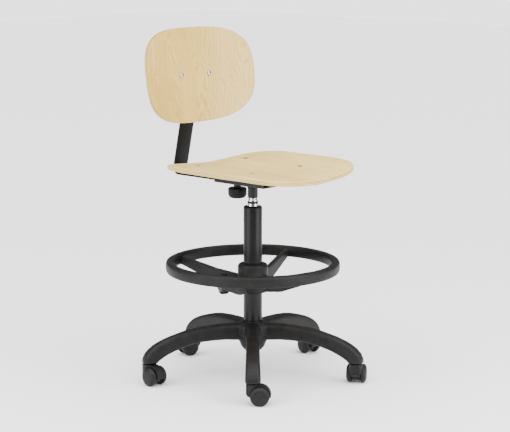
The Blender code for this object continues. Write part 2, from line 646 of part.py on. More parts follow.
def build_depth_knob(parent):
    height = DEPTH_KNOB_TOP - DEPTH_KNOB_BOTTOM
    knob = fluted_knob(DEPTH_KNOB_RADIUS, 0.0008, 12, height, 24)
    neck_top = CHANNEL_FLOOR - DEPTH_KNOB_BOTTOM - 0.0008
    neck = rod(DEPTH_NECK_RADIUS, (0, 0, height - 0.006), (0, 0, neck_top), 16)
    hole = rod(DEPTH_SCREW_RADIUS + 2 * GAP, (0, 0, height - 0.014), (0, 0, neck_top + 0.01), 16)
    spot = (0, DEPTH_KNOB_Y, DEPTH_KNOB_BOTTOM)
    piece("depth_knob", combine(knob, [neck], [hole]), "knob_plastic", parent, spot)
    tip = CHANNEL_FLOOR + 0.003 - DEPTH_KNOB_BOTTOM
    screw = turned([(0, height - 0.0137), (DEPTH_SCREW_RADIUS, height - 0.0137),
                    (DEPTH_SCREW_RADIUS, tip - 0.0006), (0, tip)], 16)
    piece("depth_screw", screw, "zinc", parent, spot)


def build_ring_knob(parent):
    """The star knob that clamps the foot ring, with its screw through the ring's hub."""
    lay = Matrix.Rotation(math.radians(90), 4, "Y")
    head = fluted_knob(RING_KNOB_RADIUS, 0.0055, 6, 0.027, 36)
    neck = turned([(0, -0.024), (0.0125, -0.024), (0.0150, -0.010), (0.0150, 0.004), (0, 0.004)], 16)
    hole = rod(RING_SCREW_RADIUS + GAP, (0, 0, -0.03), (0, 0, 0.012), 16)
    spot = Vector((0, 0, RING_KNOB_HEIGHT)) + direction(RING_KNOB_AZIMUTH) * RING_KNOB_REACH
    knob = placed(combine(head, [neck], [hole]), lay)
    piece("ring_knob", knob, "knob_plastic", parent, spot, RING_KNOB_AZIMUTH)
    tip = TUBE_RADIUS + 2 * GAP - RING_KNOB_REACH
    screw = placed(rod(RING_SCREW_RADIUS, (0, 0, tip), (0, 0, 0.0117), 16), lay)
    piece("ring_screw", screw, "zinc", parent, spot, RING_KNOB_AZIMUTH)


# ---- foot ring ----------------------------------------------------------------------------
def build_foot_ring(parent):
    middle = RING_RADIUS - RING_WIDTH / 2
    half_width, half_height = RING_WIDTH / 2, (RING_TOP - RING_BOTTOM) / 2
    height = (RING_TOP + RING_BOTTOM) / 2
    section = []
    for index in range(8):
        across, rise = rounded_form(half_width, half_height, 3.4, math.tau * (index + 0.5) / 8)
        section.append((middle + across, height + rise))
    rim = turned(section, 52, hollow=True)
    hub = turned([(0, RING_HUB_BOTTOM), (RING_HUB_RADIUS - 0.004, RING_HUB_BOTTOM),
                  (RING_HUB_RADIUS, RING_HUB_BOTTOM + 0.004), (RING_HUB_RADIUS, RING_HUB_TOP - 0.008),
                  (RING_HUB_RADIUS - 0.003, RING_HUB_TOP - 0.002), (RING_HUB_RADIUS - 0.008, RING_HUB_TOP),
                  (0, RING_HUB_TOP)], 28)
    profile = [(0.030, RING_HUB_BOTTOM + 0.0015), (0.085, 0.2380), (0.140, 0.2585),
               (middle, RING_BOTTOM + 0.004), (middle, RING_TOP - 0.006),
               (RING_RADIUS - RING_WIDTH, 0.3100), (0.110, 0.2855), (0.030, 0.2740)]
    ribs = [placed(prism(profile, RIB_THICKNESS / 2), turn_to(azimuth)) for azimuth in RIB_AZIMUTHS]
    bore = rod(TUBE_RADIUS + GAP, (0, 0, 0.2), (0, 0, 0.35), 28)
    outward = direction(RING_KNOB_AZIMUTH)
    lift = Vector((0, 0, RING_KNOB_HEIGHT))
    screw_hole = rod(RING_SCREW_RADIUS + GAP, lift + outward * 0.015, lift + outward * 0.05, 16)
    moulding = combine(hub, [rim, *ribs], [bore, screw_hole])
    piece("foot_ring", moulding, "nylon", parent)


def main():
    clear_scene()
    column = bpy.data.objects.new("column_axis", None)
    bpy.context.collection.objects.link(column)
    column.location = (COLUMN_X, COLUMN_Y, 0)
    build_base(column)
    build_castors(column)
    build_column(column)
    build_lift(column)
    build_seat(column)
    build_lever(column)
    build_back(column)
    build_depth_knob(column)
    build_foot_ring(column)
    build_ring_knob(column)


main()
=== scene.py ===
"""Fine meshes and finishes for a draughtsman's swivel stool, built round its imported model.

Metres, +Z up, the seat's front towards -Y. Each sub-assembly is a class that holds its sizes, models
its pieces and dresses them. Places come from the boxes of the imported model's own nodes.
"""

import json
import logging
import math
from dataclasses import dataclass
from enum import Enum
from typing import Callable, Iterable, Optional, Sequence

import bmesh
import bpy
from mathutils import Matrix, Vector

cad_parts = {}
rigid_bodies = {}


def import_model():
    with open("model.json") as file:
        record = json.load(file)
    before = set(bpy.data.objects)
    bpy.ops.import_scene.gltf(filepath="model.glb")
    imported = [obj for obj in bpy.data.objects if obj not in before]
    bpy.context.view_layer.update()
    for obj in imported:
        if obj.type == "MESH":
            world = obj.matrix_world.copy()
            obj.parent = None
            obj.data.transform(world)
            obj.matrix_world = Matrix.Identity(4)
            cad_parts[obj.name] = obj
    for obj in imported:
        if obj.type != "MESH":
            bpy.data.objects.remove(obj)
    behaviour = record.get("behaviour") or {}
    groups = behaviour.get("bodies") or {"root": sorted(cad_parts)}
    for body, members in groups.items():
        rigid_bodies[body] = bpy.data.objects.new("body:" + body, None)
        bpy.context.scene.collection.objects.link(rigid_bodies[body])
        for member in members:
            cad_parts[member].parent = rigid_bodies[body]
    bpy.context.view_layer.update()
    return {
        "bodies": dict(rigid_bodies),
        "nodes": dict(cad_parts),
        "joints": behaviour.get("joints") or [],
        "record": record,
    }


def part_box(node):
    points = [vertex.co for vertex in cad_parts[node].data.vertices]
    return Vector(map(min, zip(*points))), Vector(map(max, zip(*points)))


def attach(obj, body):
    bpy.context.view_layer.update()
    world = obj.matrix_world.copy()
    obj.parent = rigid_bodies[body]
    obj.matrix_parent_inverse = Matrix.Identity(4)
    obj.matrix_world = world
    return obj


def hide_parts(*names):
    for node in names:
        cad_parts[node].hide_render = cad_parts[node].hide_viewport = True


LOG = logging.getLogger("stool")
MM = 0.001
GAP = 0.3 * MM
FINE = 96

Profile = Sequence[tuple[float, float]]
Tree = bpy.types.NodeTree
Socket = bpy.types.NodeSocket
Inputs = dict[str | int, object]
Shape = bmesh.types.BMesh


class Slot(Enum):
    """The record's material slots."""

    NYLON = "glass_filled_nylon"
    WHEEL = "castor_wheel_nylon"
    COAT = "black_powder_coat"
    CHROME = "chromed_steel"
    KNOB = "black_knob_plastic"
    PLY = "lacquered_beech_ply"
    ZINC = "zinc_plated_steel"


class Side(Enum):
    """The two wheels of a castor, by the sign of their place along the axle."""

    LEFT = 1
    RIGHT = -1


class GrainRun(Enum):
    """Which way a ply shell's face grain runs: (across, through, along) as axis indices."""

    FORE_AND_AFT = (0, 2, 1)
    UPRIGHT = (0, 1, 2)


# ---- colour and shader nodes ----------------------------------------------------------------
def linear(colour: str) -> tuple[float, float, float, float]:
    """Turns an sRGB hex colour into linear RGBA.

    Args:
        colour: "#rrggbb".

    Returns:
        Four linear values, alpha 1.
    """
    values = []
    for start in (1, 3, 5):
        part = int(colour[start : start + 2], 16) / 255
        values.append(part / 12.92 if part <= 0.04045 else ((part + 0.055) / 1.055) ** 2.4)
    return values[0], values[1], values[2], 1.0


def add_node(tree: Tree, kind: str, inputs: Inputs, out: int | str = 0, **settings: object) -> Socket:
    """Adds a node with its settings and links.

    Args:
        tree: the node tree that takes it.
        kind: the node's type name without "ShaderNode".
        inputs: socket name or index to a value, or to an output socket that is linked.
        out: which output is wanted.
        settings: the node's own properties.

    Returns:
        The wanted output socket.
    """
    node = tree.nodes.new("ShaderNode" + kind)
    for name, value in settings.items():
        setattr(node, name, value)
    for key, value in inputs.items():
        if isinstance(value, Socket):
            tree.links.new(value, node.inputs[key])
        else:
            node.inputs[key].default_value = value
    return node.outputs[out]


def blank_material(name: str) -> tuple[bpy.types.Material, Tree, bpy.types.Node]:
    """Makes a material with an empty Principled shader.

    Args:
        name: the finish's own name.

    Returns:
        The material, its tree and its Principled node.
    """
    material = bpy.data.materials.new(name)
    material.use_nodes = True
    tree = material.node_tree
    return material, tree, tree.nodes["Principled BSDF"]


@dataclass(frozen=True)
class Pattern:
    """An irregular natural pattern of a real size, told in millimetres on the piece itself."""

    size: float
    detail: float = 2.0
    rough: float = 0.5
    stretch: tuple[float, float, float] = (1.0, 1.0, 1.0)

    def lay(self, tree: Tree) -> Socket:
        """Lays the pattern in a material.

        Args:
            tree: the node tree.

        Returns:
            Its factor, 0 to 1.
        """
        place = add_node(tree, "TexCoord", {}, "Object")
        scale = [1.0 / MM / value for value in self.stretch]
        place = add_node(tree, "Mapping", {"Vector": place, "Scale": scale})
        inputs = {"Vector": place, "Scale": 1.0 / self.size, "Detail": self.detail, "Roughness": self.rough}
        return add_node(tree, "TexNoise", inputs, "Fac")


def fitted(value: Socket, low: float, high: float, start: float = 0.0, end: float = 1.0) -> dict:
    """The inputs that turn the range low to high into start to end."""
    return {"Value": value, "From Min": low, "From Max": high, "To Min": start, "To Max": end}


# ---- finishes -------------------------------------------------------------------------------
@dataclass(frozen=True)
class MouldedPlastic:
    """A moulded black plastic with a spark-eroded grain: the eye sees a soft sheen, faint cloudiness
    and a fine tooth where light grazes it. The grain is drawn a little coarser than the real
    0.3 mm so that it shows."""

    name: str
    slot: Slot
    colour: str
    cloud: str
    roughness: tuple[float, float]
    grain_mm: float
    depth_mm: float
    cloud_mm: float = 22.0
    specular: float = 0.21

    def make(self) -> bpy.types.Material:
        """Builds the material.

        Returns:
            The material.
        """
        material, tree, shader = blank_material(self.name)
        cloud = Pattern(self.cloud_mm, 3.0, 0.6).lay(tree)
        tooth = Pattern(self.grain_mm, 1.5, 0.6).lay(tree)
        amount = add_node(tree, "MapRange", fitted(cloud, 0.35, 0.68))
        tone = {0: amount, 6: linear(self.colour), 7: linear(self.cloud)}
        tone = add_node(tree, "Mix", tone, 2, data_type="RGBA")
        speck = add_node(tree, "MapRange", fitted(tooth, 0.52, 0.80, 0.0, 0.35))
        tone = add_node(tree, "Mix", {0: speck, 6: tone, 7: linear(self.cloud)}, 2, data_type="RGBA")
        tree.links.new(tone, shader.inputs["Base Color"])
        sheen = add_node(tree, "MapRange", fitted(tooth, 0.3, 0.7, *self.roughness))
        tree.links.new(sheen, shader.inputs["Roughness"])
        shader.inputs["IOR"].default_value = 1.46
        shader.inputs["Specular IOR Level"].default_value = self.specular
        relief = {"Height": tooth, "Distance": self.depth_mm * MM, "Strength": 1.0}
        tree.links.new(add_node(tree, "Bump", relief), shader.inputs["Normal"])
        return material


@dataclass(frozen=True)
class PowderCoat:
    """Epoxy powder on steel: a satin black skin with a faint orange-peel ripple a millimetre or two
    across, which breaks long reflections softly."""

    name: str
    slot: Slot
    colour: str
    roughness: tuple[float, float]
    peel_mm: float = 1.8
    depth_mm: float = 0.010
    specular: float = 0.22

    def make(self) -> bpy.types.Material:
        """Builds the material.

        Returns:
            The material.
        """
        material, tree, shader = blank_material(self.name)
        peel = Pattern(self.peel_mm, 1.0, 0.4).lay(tree)
        wear = Pattern(14.0, 4.0, 0.65).lay(tree)
        worn = [min(1.0, channel * 1.35) for channel in linear(self.colour)]
        amount = add_node(tree, "MapRange", fitted(wear, 0.45, 0.75))
        tone = add_node(tree, "Mix", {0: amount, 6: linear(self.colour), 7: worn}, 2, data_type="RGBA")
        tree.links.new(tone, shader.inputs["Base Color"])
        sheen = add_node(tree, "MapRange", fitted(wear, 0.3, 0.75, *self.roughness))
        tree.links.new(sheen, shader.inputs["Roughness"])
        shader.inputs["IOR"].default_value = 1.48
        shader.inputs["Specular IOR Level"].default_value = self.specular
        relief = {"Height": peel, "Distance": self.depth_mm * MM, "Strength": 1.0}
        tree.links.new(add_node(tree, "Bump", relief), shader.inputs["Normal"])
        return material


@dataclass(frozen=True)
class PlatedSteel:
    """Plated steel. Chrome is a clean mirror with the faintest polishing haze; bright zinc is softer and a
    little yellow, with fine drawn lines; the dark zinc copy is simply given a dark grey colour."""

    name: str
    slot: Slot
    colour: str
    haze: str
    roughness: tuple[float, float]
    line_mm: float
    depth_mm: float
    stretch: tuple[float, float, float]

    def make(self) -> bpy.types.Material:
        """Builds the material.

        Returns:
            The material.
        """
        material, tree, shader = blank_material(self.name)
        lines = Pattern(self.line_mm, 2.0, 0.5, self.stretch).lay(tree)
        haze = Pattern(9.0, 3.0, 0.6).lay(tree)
        amount = add_node(tree, "MapRange", fitted(haze, 0.35, 0.75))
        tone = {0: amount, 6: linear(self.colour), 7: linear(self.haze)}
        tree.links.new(add_node(tree, "Mix", tone, 2, data_type="RGBA"), shader.inputs["Base Color"])
        sheen = add_node(tree, "MapRange", fitted(lines, 0.3, 0.7, *self.roughness))
        tree.links.new(sheen, shader.inputs["Roughness"])
        shader.inputs["Metallic"].default_value = 1.0
        relief = {"Height": lines, "Distance": self.depth_mm * MM, "Strength": 1.0}
        tree.links.new(add_node(tree, "Bump", relief), shader.inputs["Normal"])
        return material


@dataclass(frozen=True)
class BeechPly:
    """Rotary-cut beech veneer over cross-laid plies under clear satin lacquer.

    The face is cream with long soft growth figure, close fibre streaks and short ray flecks. The rim
    shows the plies as pale and brown bands with thin glue lines, read from the "ply_depth" attribute:
    0 on the upper face, 1 on the lower. Flecks are really 0.3 mm wide and are drawn at 0.9 mm.
    """

    name: str
    slot: Slot
    grain: GrainRun
    pale: str
    warm: str
    figure: str
    end_grain: str
    glue: str
    plies: int = 7

    def streaks(self, size: float, along: float, detail: float, rough: float) -> Pattern:
        """A pattern that is longer along the grain.

        Args:
            size: its size across the grain, in millimetres.
            along: how many times longer it is along the grain.
            detail: octaves.
            rough: how strong the finer octaves are.

        Returns:
            The pattern.
        """
        stretch = [1.0, 1.0, 1.0]
        stretch[self.grain.value[2]] = along
        return Pattern(size, detail, rough, (stretch[0], stretch[1], stretch[2]))

    def figure_lines(self, tree: Tree) -> Socket:
        """Long nested growth lines: bands across the grain, bent by a slow noise.

        Args:
            tree: the node tree.

        Returns:
            How strong the line is, 0 to 1.
        """
        slow = self.streaks(62.0, 4.2, 2.0, 0.45).lay(tree)
        place = add_node(tree, "TexCoord", {}, "Object")
        place = add_node(tree, "Mapping", {"Vector": place, "Scale": [1.0 / MM] * 3})
        across = add_node(tree, "SeparateXYZ", {0: place}, self.grain.value[0])
        bent = add_node(tree, "Math", {0: slow, 1: 118.0, 2: across}, operation="MULTIPLY_ADD")
        phase = add_node(tree, "Math", {0: bent, 1: math.tau / 9.5}, operation="MULTIPLY")
        wave = add_node(tree, "Math", {0: phase}, operation="SINE")
        return add_node(tree, "MapRange", fitted(wave, -0.2, 1.0))

    def face(self, tree: Tree, fibre: Socket) -> Socket:
        """The colour of the face veneer.

        Args:
            tree: the node tree.
            fibre: the fibre streaks.

        Returns:
            The colour socket.
        """
        figure = linear(self.figure)
        broad = self.streaks(48.0, 5.0, 3.0, 0.55).lay(tree)
        broad = add_node(tree, "MapRange", fitted(broad, 0.33, 0.68))
        tone = {0: broad, 6: linear(self.pale), 7: linear(self.warm)}
        tone = add_node(tree, "Mix", tone, 2, data_type="RGBA")
        lines = add_node(tree, "Math", {0: self.figure_lines(tree), 1: 0.45}, operation="MULTIPLY")
        tone = add_node(tree, "Mix", {0: lines, 6: tone, 7: figure}, 2, data_type="RGBA")
        streak = add_node(tree, "MapRange", fitted(fibre, 0.48, 0.74, 0.0, 0.6))
        tone = add_node(tree, "Mix", {0: streak, 6: tone, 7: figure}, 2, data_type="RGBA")
        fleck = self.streaks(0.9, 6.0, 0.0, 0.5).lay(tree)
        fleck = add_node(tree, "MapRange", fitted(fleck, 0.66, 0.80, 0.0, 0.45))
        return add_node(tree, "Mix", {0: fleck, 6: tone, 7: linear(self.end_grain)}, 2, data_type="RGBA")

    def rim(self, tree: Tree, depth: Socket, fibre: Socket) -> Socket:
        """The colour of the cut edge: alternate plies and their glue lines.

        Args:
            tree: the node tree.
            depth: the place through the sheet, 0 to 1.
            fibre: the fibre streaks.

        Returns:
            The colour socket.
        """
        layer = add_node(tree, "Math", {0: depth, 1: float(self.plies)}, operation="MULTIPLY")
        whole = add_node(tree, "Math", {0: layer}, operation="FLOOR")
        odd = add_node(tree, "Math", {0: whole, 1: 2.0}, operation="MODULO")
        pores = add_node(tree, "MapRange", fitted(fibre, 0.35, 0.7, 0.65, 1.0))
        brown = add_node(tree, "Math", {0: odd, 1: pores}, operation="MULTIPLY")
        tone = {0: brown, 6: linear(self.warm), 7: linear(self.end_grain)}
        tone = add_node(tree, "Mix", tone, 2, data_type="RGBA")
        part = add_node(tree, "Math", {0: layer}, operation="FRACT")
        line = add_node(tree, "Math", {0: part, 1: 0.10}, operation="LESS_THAN")
        line = add_node(tree, "Math", {0: line, 1: 0.7}, operation="MULTIPLY")
        return add_node(tree, "Mix", {0: line, 6: tone, 7: linear(self.glue)}, 2, data_type="RGBA")

    def make(self) -> bpy.types.Material:
        """Builds the material.

        Returns:
            The material.
        """
        material, tree, shader = blank_material(self.name)
        fibre = self.streaks(1.5, 55.0, 3.0, 0.62).lay(tree)
        depth = add_node(tree, "Attribute", {}, "Fac", attribute_name="ply_depth")
        inside = add_node(tree, "Math", {0: depth, 1: 0.5}, operation="PINGPONG")
        cut = add_node(tree, "MapRange", fitted(inside, 0.05, 0.07))
        tone = {0: cut, 6: self.face(tree, fibre), 7: self.rim(tree, depth, fibre)}
        tree.links.new(add_node(tree, "Mix", tone, 2, data_type="RGBA"), shader.inputs["Base Color"])
        sheen = add_node(tree, "MapRange", fitted(fibre, 0.3, 0.75, 0.34, 0.46))
        tree.links.new(sheen, shader.inputs["Roughness"])
        shader.inputs["IOR"].default_value = 1.5
        shader.inputs["Coat Weight"].default_value = 0.25
        shader.inputs["Coat Roughness"].default_value = 0.22
        relief = {"Height": fibre, "Distance": 0.02 * MM, "Strength": 1.0}
        tree.links.new(add_node(tree, "Bump", relief), shader.inputs["Normal"])
        return material


@dataclass(frozen=True)
class StudioPaper:
    """Matt white paper under the stool, too smooth for a pattern of its own to show."""

    name: str = "white_studio_paper"
    colour: str = "#f4f4f4"

    def make(self) -> bpy.types.Material:
        """Builds the material.

        Returns:
            The material.
        """
        material, _, shader = blank_material(self.name)
        shader.inputs["Base Color"].default_value = linear(self.colour)
        shader.inputs["Roughness"].default_value = 0.9
        return material


NYLON = MouldedPlastic("moulded_glass_filled_nylon", Slot.NYLON, "#0d0c0c", "#161515", (0.44, 0.58), 1.1,
                       0.035)
WHEEL = MouldedPlastic("moulded_wheel_nylon", Slot.WHEEL, "#100f0f", "#191818", (0.42, 0.54), 0.8, 0.012,
                       12.0)
KNOB = MouldedPlastic("moulded_knob_polypropylene", Slot.KNOB, "#060606", "#0d0c0c", (0.38, 0.50), 0.9,
                      0.015, 10.0)
COAT = PowderCoat("black_epoxy_powder_coat", Slot.COAT, "#0a0a0a", (0.30, 0.40))
BAR_COAT = PowderCoat("matt_black_powder_coat", Slot.COAT, "#050505", (0.44, 0.54), specular=0.13)
CHROME = PlatedSteel("polished_chromium_plate", Slot.CHROME, "#d9d9da", "#cfd0d2", (0.05, 0.10), 0.8, 0.002,
                     (1.0, 1.0, 30.0))
ZINC = PlatedSteel("bright_zinc_plate", Slot.ZINC, "#bdbbb4", "#a9a69d", (0.22, 0.34), 0.7, 0.006,
                   (1.0, 1.0, 4.0))
# A dark grey copy of the zinc, given to the seat's four fixings.
DARK_ZINC = PlatedSteel("aged_zinc_plate", Slot.ZINC, "#5b5650", "#3f3b36", (0.34, 0.46), 0.7, 0.006,
                        (1.0, 1.0, 4.0))
SEAT_PLY = BeechPly("lacquered_beech_ply_seat", Slot.PLY, GrainRun.FORE_AND_AFT, "#f0d588", "#e4c571",
                    "#c49c50", "#7c5a2c", "#4a3319")
# The back's copy of the ply is darker than the seat's: painted shade of the upright back, which takes less
# of the overhead light.
SHADED_BACK_PLY = BeechPly("lacquered_beech_ply_back", Slot.PLY, GrainRun.UPRIGHT, "#dcbe66", "#cdab50",
                    "#ad8438", "#7c5a2c", "#4a3319")
PAPER = StudioPaper()


# ---- shape tools ----------------------------------------------------------------------------
def direction(azimuth: float) -> Vector:
    """Unit vector on the floor: 0 degrees is the seat's front, -Y, and 90 is +X."""
    angle = math.radians(azimuth)
    return Vector((math.sin(angle), -math.cos(angle), 0.0))


def azimuth_of(vector: Vector) -> float:
    """The azimuth of a vector on the floor, in degrees."""
    return math.degrees(math.atan2(vector.x, -vector.y))


def stand(place: Vector, azimuth: float) -> Matrix:
    """A placement that takes +X to the direction of an azimuth."""
    return Matrix.Translation(place) @ Matrix.Rotation(math.radians(azimuth - 90.0), 4, "Z")


def clean(bm: Shape) -> Shape:
    """Merges doubles and turns the faces outwards.

    Args:
        bm: the shape.

    Returns:
        The same shape.
    """
    bmesh.ops.remove_doubles(bm, verts=bm.verts, dist=1e-6)
    bmesh.ops.recalc_face_normals(bm, faces=bm.faces)
    return bm


def soften(bm: Shape, width: float, segments: int = 3, angle: float = 30.0) -> Shape:
    """Rounds every edge that is sharper than an angle.

    Args:
        bm: the shape.
        width: the bevel's width.
        segments: its steps.
        angle: the least angle between faces, in degrees.

    Returns:
        The same shape.
    """
    least = math.radians(angle)
    edges = [edge for edge in bm.edges if edge.is_manifold and edge.calc_face_angle(0.0) > least]
    bmesh.ops.bevel(bm, geom=edges, offset=width, offset_type="OFFSET", segments=segments, profile=0.5,
                    affect="EDGES", material=-1, clamp_overlap=True)
    return bm


def arc(centre: tuple[float, float], radius: float, start: float, end: float, steps: int) -> list:
    """Points on an arc, angles in degrees, both ends included."""
    angles = [math.radians(start + (end - start) * step / steps) for step in range(steps + 1)]
    return [(centre[0] + radius * math.cos(a), centre[1] + radius * math.sin(a)) for a in angles]


def turned(profile: Profile, hollow: bool = False, steps: int = FINE, edge: float = 0.0) -> Shape:
    """A turned solid about Z.

    Args:
        profile: (radius, height) points. Unless hollow it starts and ends on the axis.
        hollow: the profile is a closed loop clear of the axis.
        steps: sides of the round.
        edge: how far its sharp edges are rounded.

    Returns:
        The shape.
    """
    bm = bmesh.new()
    verts = [bm.verts.new((radius, 0.0, height)) for radius, height in profile]
    edges = [bm.edges.new(pair) for pair in zip(verts, verts[1:])]
    if hollow:
        edges.append(bm.edges.new((verts[-1], verts[0])))
    bmesh.ops.spin(bm, geom=verts + edges, cent=(0, 0, 0), axis=(0, 0, 1), steps=steps, angle=math.tau,
                   use_merge=True)
    clean(bm)
    return soften(bm, edge, 3, 22.0) if edge else bm


def prism(outline: Profile, half_width: float, edge: float = 0.0) -> Shape:
    """An outline of (x, z) points extruded along Y, its sharp edges rounded.

    Args:
        outline: the (x, z) points.
        half_width: half the width along Y.
        edge: how far its sharp edges are rounded.

    Returns:
        The shape.
    """
    bm = bmesh.new()
    face = bm.faces.new([bm.verts.new((x, -half_width, z)) for x, z in outline])
    result = bmesh.ops.extrude_face_region(bm, geom=[face])
    moved = [item for item in result["geom"] if isinstance(item, bmesh.types.BMVert)]
    bmesh.ops.translate(bm, verts=moved, vec=(0, 2 * half_width, 0))
    clean(bm)
    return soften(bm, edge, 3, 40.0) if edge else bm


def block(low: Sequence[float], high: Sequence[float], edge: float = 0.0) -> Shape:
    """A block between two corners.

    Args:
        low: the lowest level or corner.
        high: the highest level or corner.
        edge: how far its sharp edges are rounded.

    Returns:
        The shape.
    """
    bm = bmesh.new()
    middle = (Vector(low) + Vector(high)) / 2
    size = Vector(high) - Vector(low)
    bmesh.ops.create_cube(bm, size=1.0, matrix=Matrix.Translation(middle) @ Matrix.Diagonal((*size, 1.0)))
    return soften(bm, edge) if edge else bm


def rod(radius: float, start: Vector, end: Vector, steps: int = 48, edge: float = 0.0) -> Shape:
    """A round bar between two points.

    Args:
        radius: its radius.
        start: one end.
        end: the other end.
        steps: sides of the round.
        edge: how far its sharp edges are rounded.

    Returns:
        The shape.
    """
    length = (end - start).length
    bm = turned([(0, 0), (radius, 0), (radius, length), (0, length)], steps=steps, edge=edge)
    turn = Vector((0, 0, 1)).rotation_difference(end - start).to_matrix().to_4x4()
    return placed(bm, Matrix.Translation(start) @ turn)


def bridged(sections: Sequence[tuple[Matrix, float, float, float]], steps: int) -> Shape:
    """A solid through rounded sections.

    Args:
        sections: for each, its placement, half sizes along its own X and Y, and a squareness from
            1, an ellipse, downwards.
        steps: points in a section.

    Returns:
        The capped shape.
    """
    bm = bmesh.new()
    rings = []
    for place, half_x, half_y, squareness in sections:
        ring = bmesh.ops.create_circle(bm, cap_ends=False, segments=steps, radius=1.0)["verts"]
        for vert in ring:
            x = math.copysign(abs(vert.co.x) ** squareness, vert.co.x)
            y = math.copysign(abs(vert.co.y) ** squareness, vert.co.y)
            vert.co = place @ Vector((half_x * x, half_y * y, 0.0))
        rings.append([edge for edge in {e for vert in ring for e in vert.link_edges}])
    for lower, upper in zip(rings, rings[1:]):
        bmesh.ops.bridge_loops(bm, edges=lower + upper)
    bmesh.ops.holes_fill(bm, edges=rings[0] + rings[-1], sides=0)
    return clean(bm)


def placed(bm: Shape, matrix: Matrix) -> Shape:
    """The same shape, moved."""
    bmesh.ops.transform(bm, matrix=matrix, verts=bm.verts)
    return bm


def gathered(shapes: Iterable[Shape]) -> Shape:
    """Several shapes in one, each left as it is.

    Args:
        shapes: the shapes.

    Returns:
        The shape.
    """
    whole = bmesh.new()
    for shape in shapes:
        mesh = bpy.data.meshes.new("part")
        shape.to_mesh(mesh)
        whole.from_mesh(mesh)
        bpy.data.meshes.remove(mesh)
    return whole


def holder(bm: Shape) -> bpy.types.Object:
    """A passing object that holds a shape for a modifier.

    Args:
        bm: the shape.

    Returns:
        The object.
    """
    mesh = bpy.data.meshes.new("holder")
    bm.to_mesh(mesh)
    obj = bpy.data.objects.new("holder", mesh)
    bpy.context.scene.collection.objects.link(obj)
    return obj


def baked(obj: bpy.types.Object, others: Iterable[bpy.types.Object] = ()) -> Shape:
    """The shape that an object's modifiers give; the object and its helpers are removed.

    Args:
        obj: the object with the modifiers.
        others: objects that the modifiers use.

    Returns:
        The shape.
    """
    graph = bpy.context.evaluated_depsgraph_get()
    mesh = bpy.data.meshes.new_from_object(obj.evaluated_get(graph))
    bm = bmesh.new()
    bm.from_mesh(mesh)
    for used in (obj, *others):
        bpy.data.objects.remove(used)
    bpy.data.meshes.remove(mesh)
    return bm


def moulded(shapes: Sequence[Shape], grid: float, rounds: int) -> Shape:
    """Melts overlapping shapes into one skin whose corners and joins are rounded, as a moulding's are.

    Args:
        shapes: the shapes.
        grid: the skin's mesh size.
        rounds: how often it is smoothed.

    Returns:
        The skin.
    """
    obj = holder(gathered(shapes))
    remesh = obj.modifiers.new("skin", "REMESH")
    remesh.mode = "VOXEL"
    remesh.voxel_size = grid
    remesh.use_smooth_shade = True
    smooth = obj.modifiers.new("round", "SMOOTH")
    smooth.factor = 0.5
    smooth.iterations = rounds
    return baked(obj)


def carved(base: Shape, add: Sequence = (), cut: Sequence = ()) -> Shape:
    """A shape with others added to it and others cut away.

    Args:
        base: the shape that is worked on.
        add: shapes to add.
        cut: shapes to cut away.

    Returns:
        The shape.
    """
    obj = holder(base)
    tools = []
    for operation, shapes in (("UNION", add), ("DIFFERENCE", cut)):
        for shape in shapes:
            tool = holder(shape)
            modifier = obj.modifiers.new(operation, "BOOLEAN")
            modifier.operation = operation
            modifier.object = tool
            tools.append(tool)
    return baked(obj, tools)


def dress(bm: Shape, name: str, finish: object, body: str, replaced: Sequence[str],
          depth: Optional[Callable[[Vector], float]] = None, angle: float = 32.0) -> bpy.types.Object:
    """Turns a finished shape into a piece of the stool.

    Args:
        bm: the shape, in its place.
        name: the piece's name.
        finish: one of the finishes.
        body: the body that it rides on.
        replaced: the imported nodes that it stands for.
        depth: gives each point's place through a ply sheet, 0 to 1.
        angle: edges sharper than this are shaded sharp.

    Returns:
        The piece.
    """
    mesh = bpy.data.meshes.new(name)
    bm.to_mesh(mesh)
    bm.free()
    mesh.shade_smooth()
    mesh.set_sharp_from_angle(angle=math.radians(angle))
    if depth:
        attribute = mesh.attributes.new("ply_depth", "FLOAT", "POINT")
        attribute.data.foreach_set("value", [depth(vert.co) for vert in mesh.vertices])
    mesh.materials.append(material_of(finish))
    obj = bpy.data.objects.new(name, mesh)
    bpy.context.scene.collection.objects.link(obj)
    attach(obj, body)
    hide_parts(*replaced)
    LOG.info("%s: %d faces, %s, on %s", name, len(mesh.polygons), finish.name, body)
    return obj


def material_of(finish: object) -> bpy.types.Material:
    """The material of a finish, made once."""
    return bpy.data.materials.get(finish.name) or finish.make()


def centre_of(node: str) -> Vector:
    """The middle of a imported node's box."""
    low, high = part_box(node)
    return (low + high) / 2


def height_of(node: str) -> tuple[float, float]:
    """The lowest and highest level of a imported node."""
    low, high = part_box(node)
    return low.z, high.z


def column_axis() -> Vector:
    """Where the column's axis meets the floor."""
    spot = centre_of("column_tube")
    return Vector((spot.x, spot.y, 0.0))


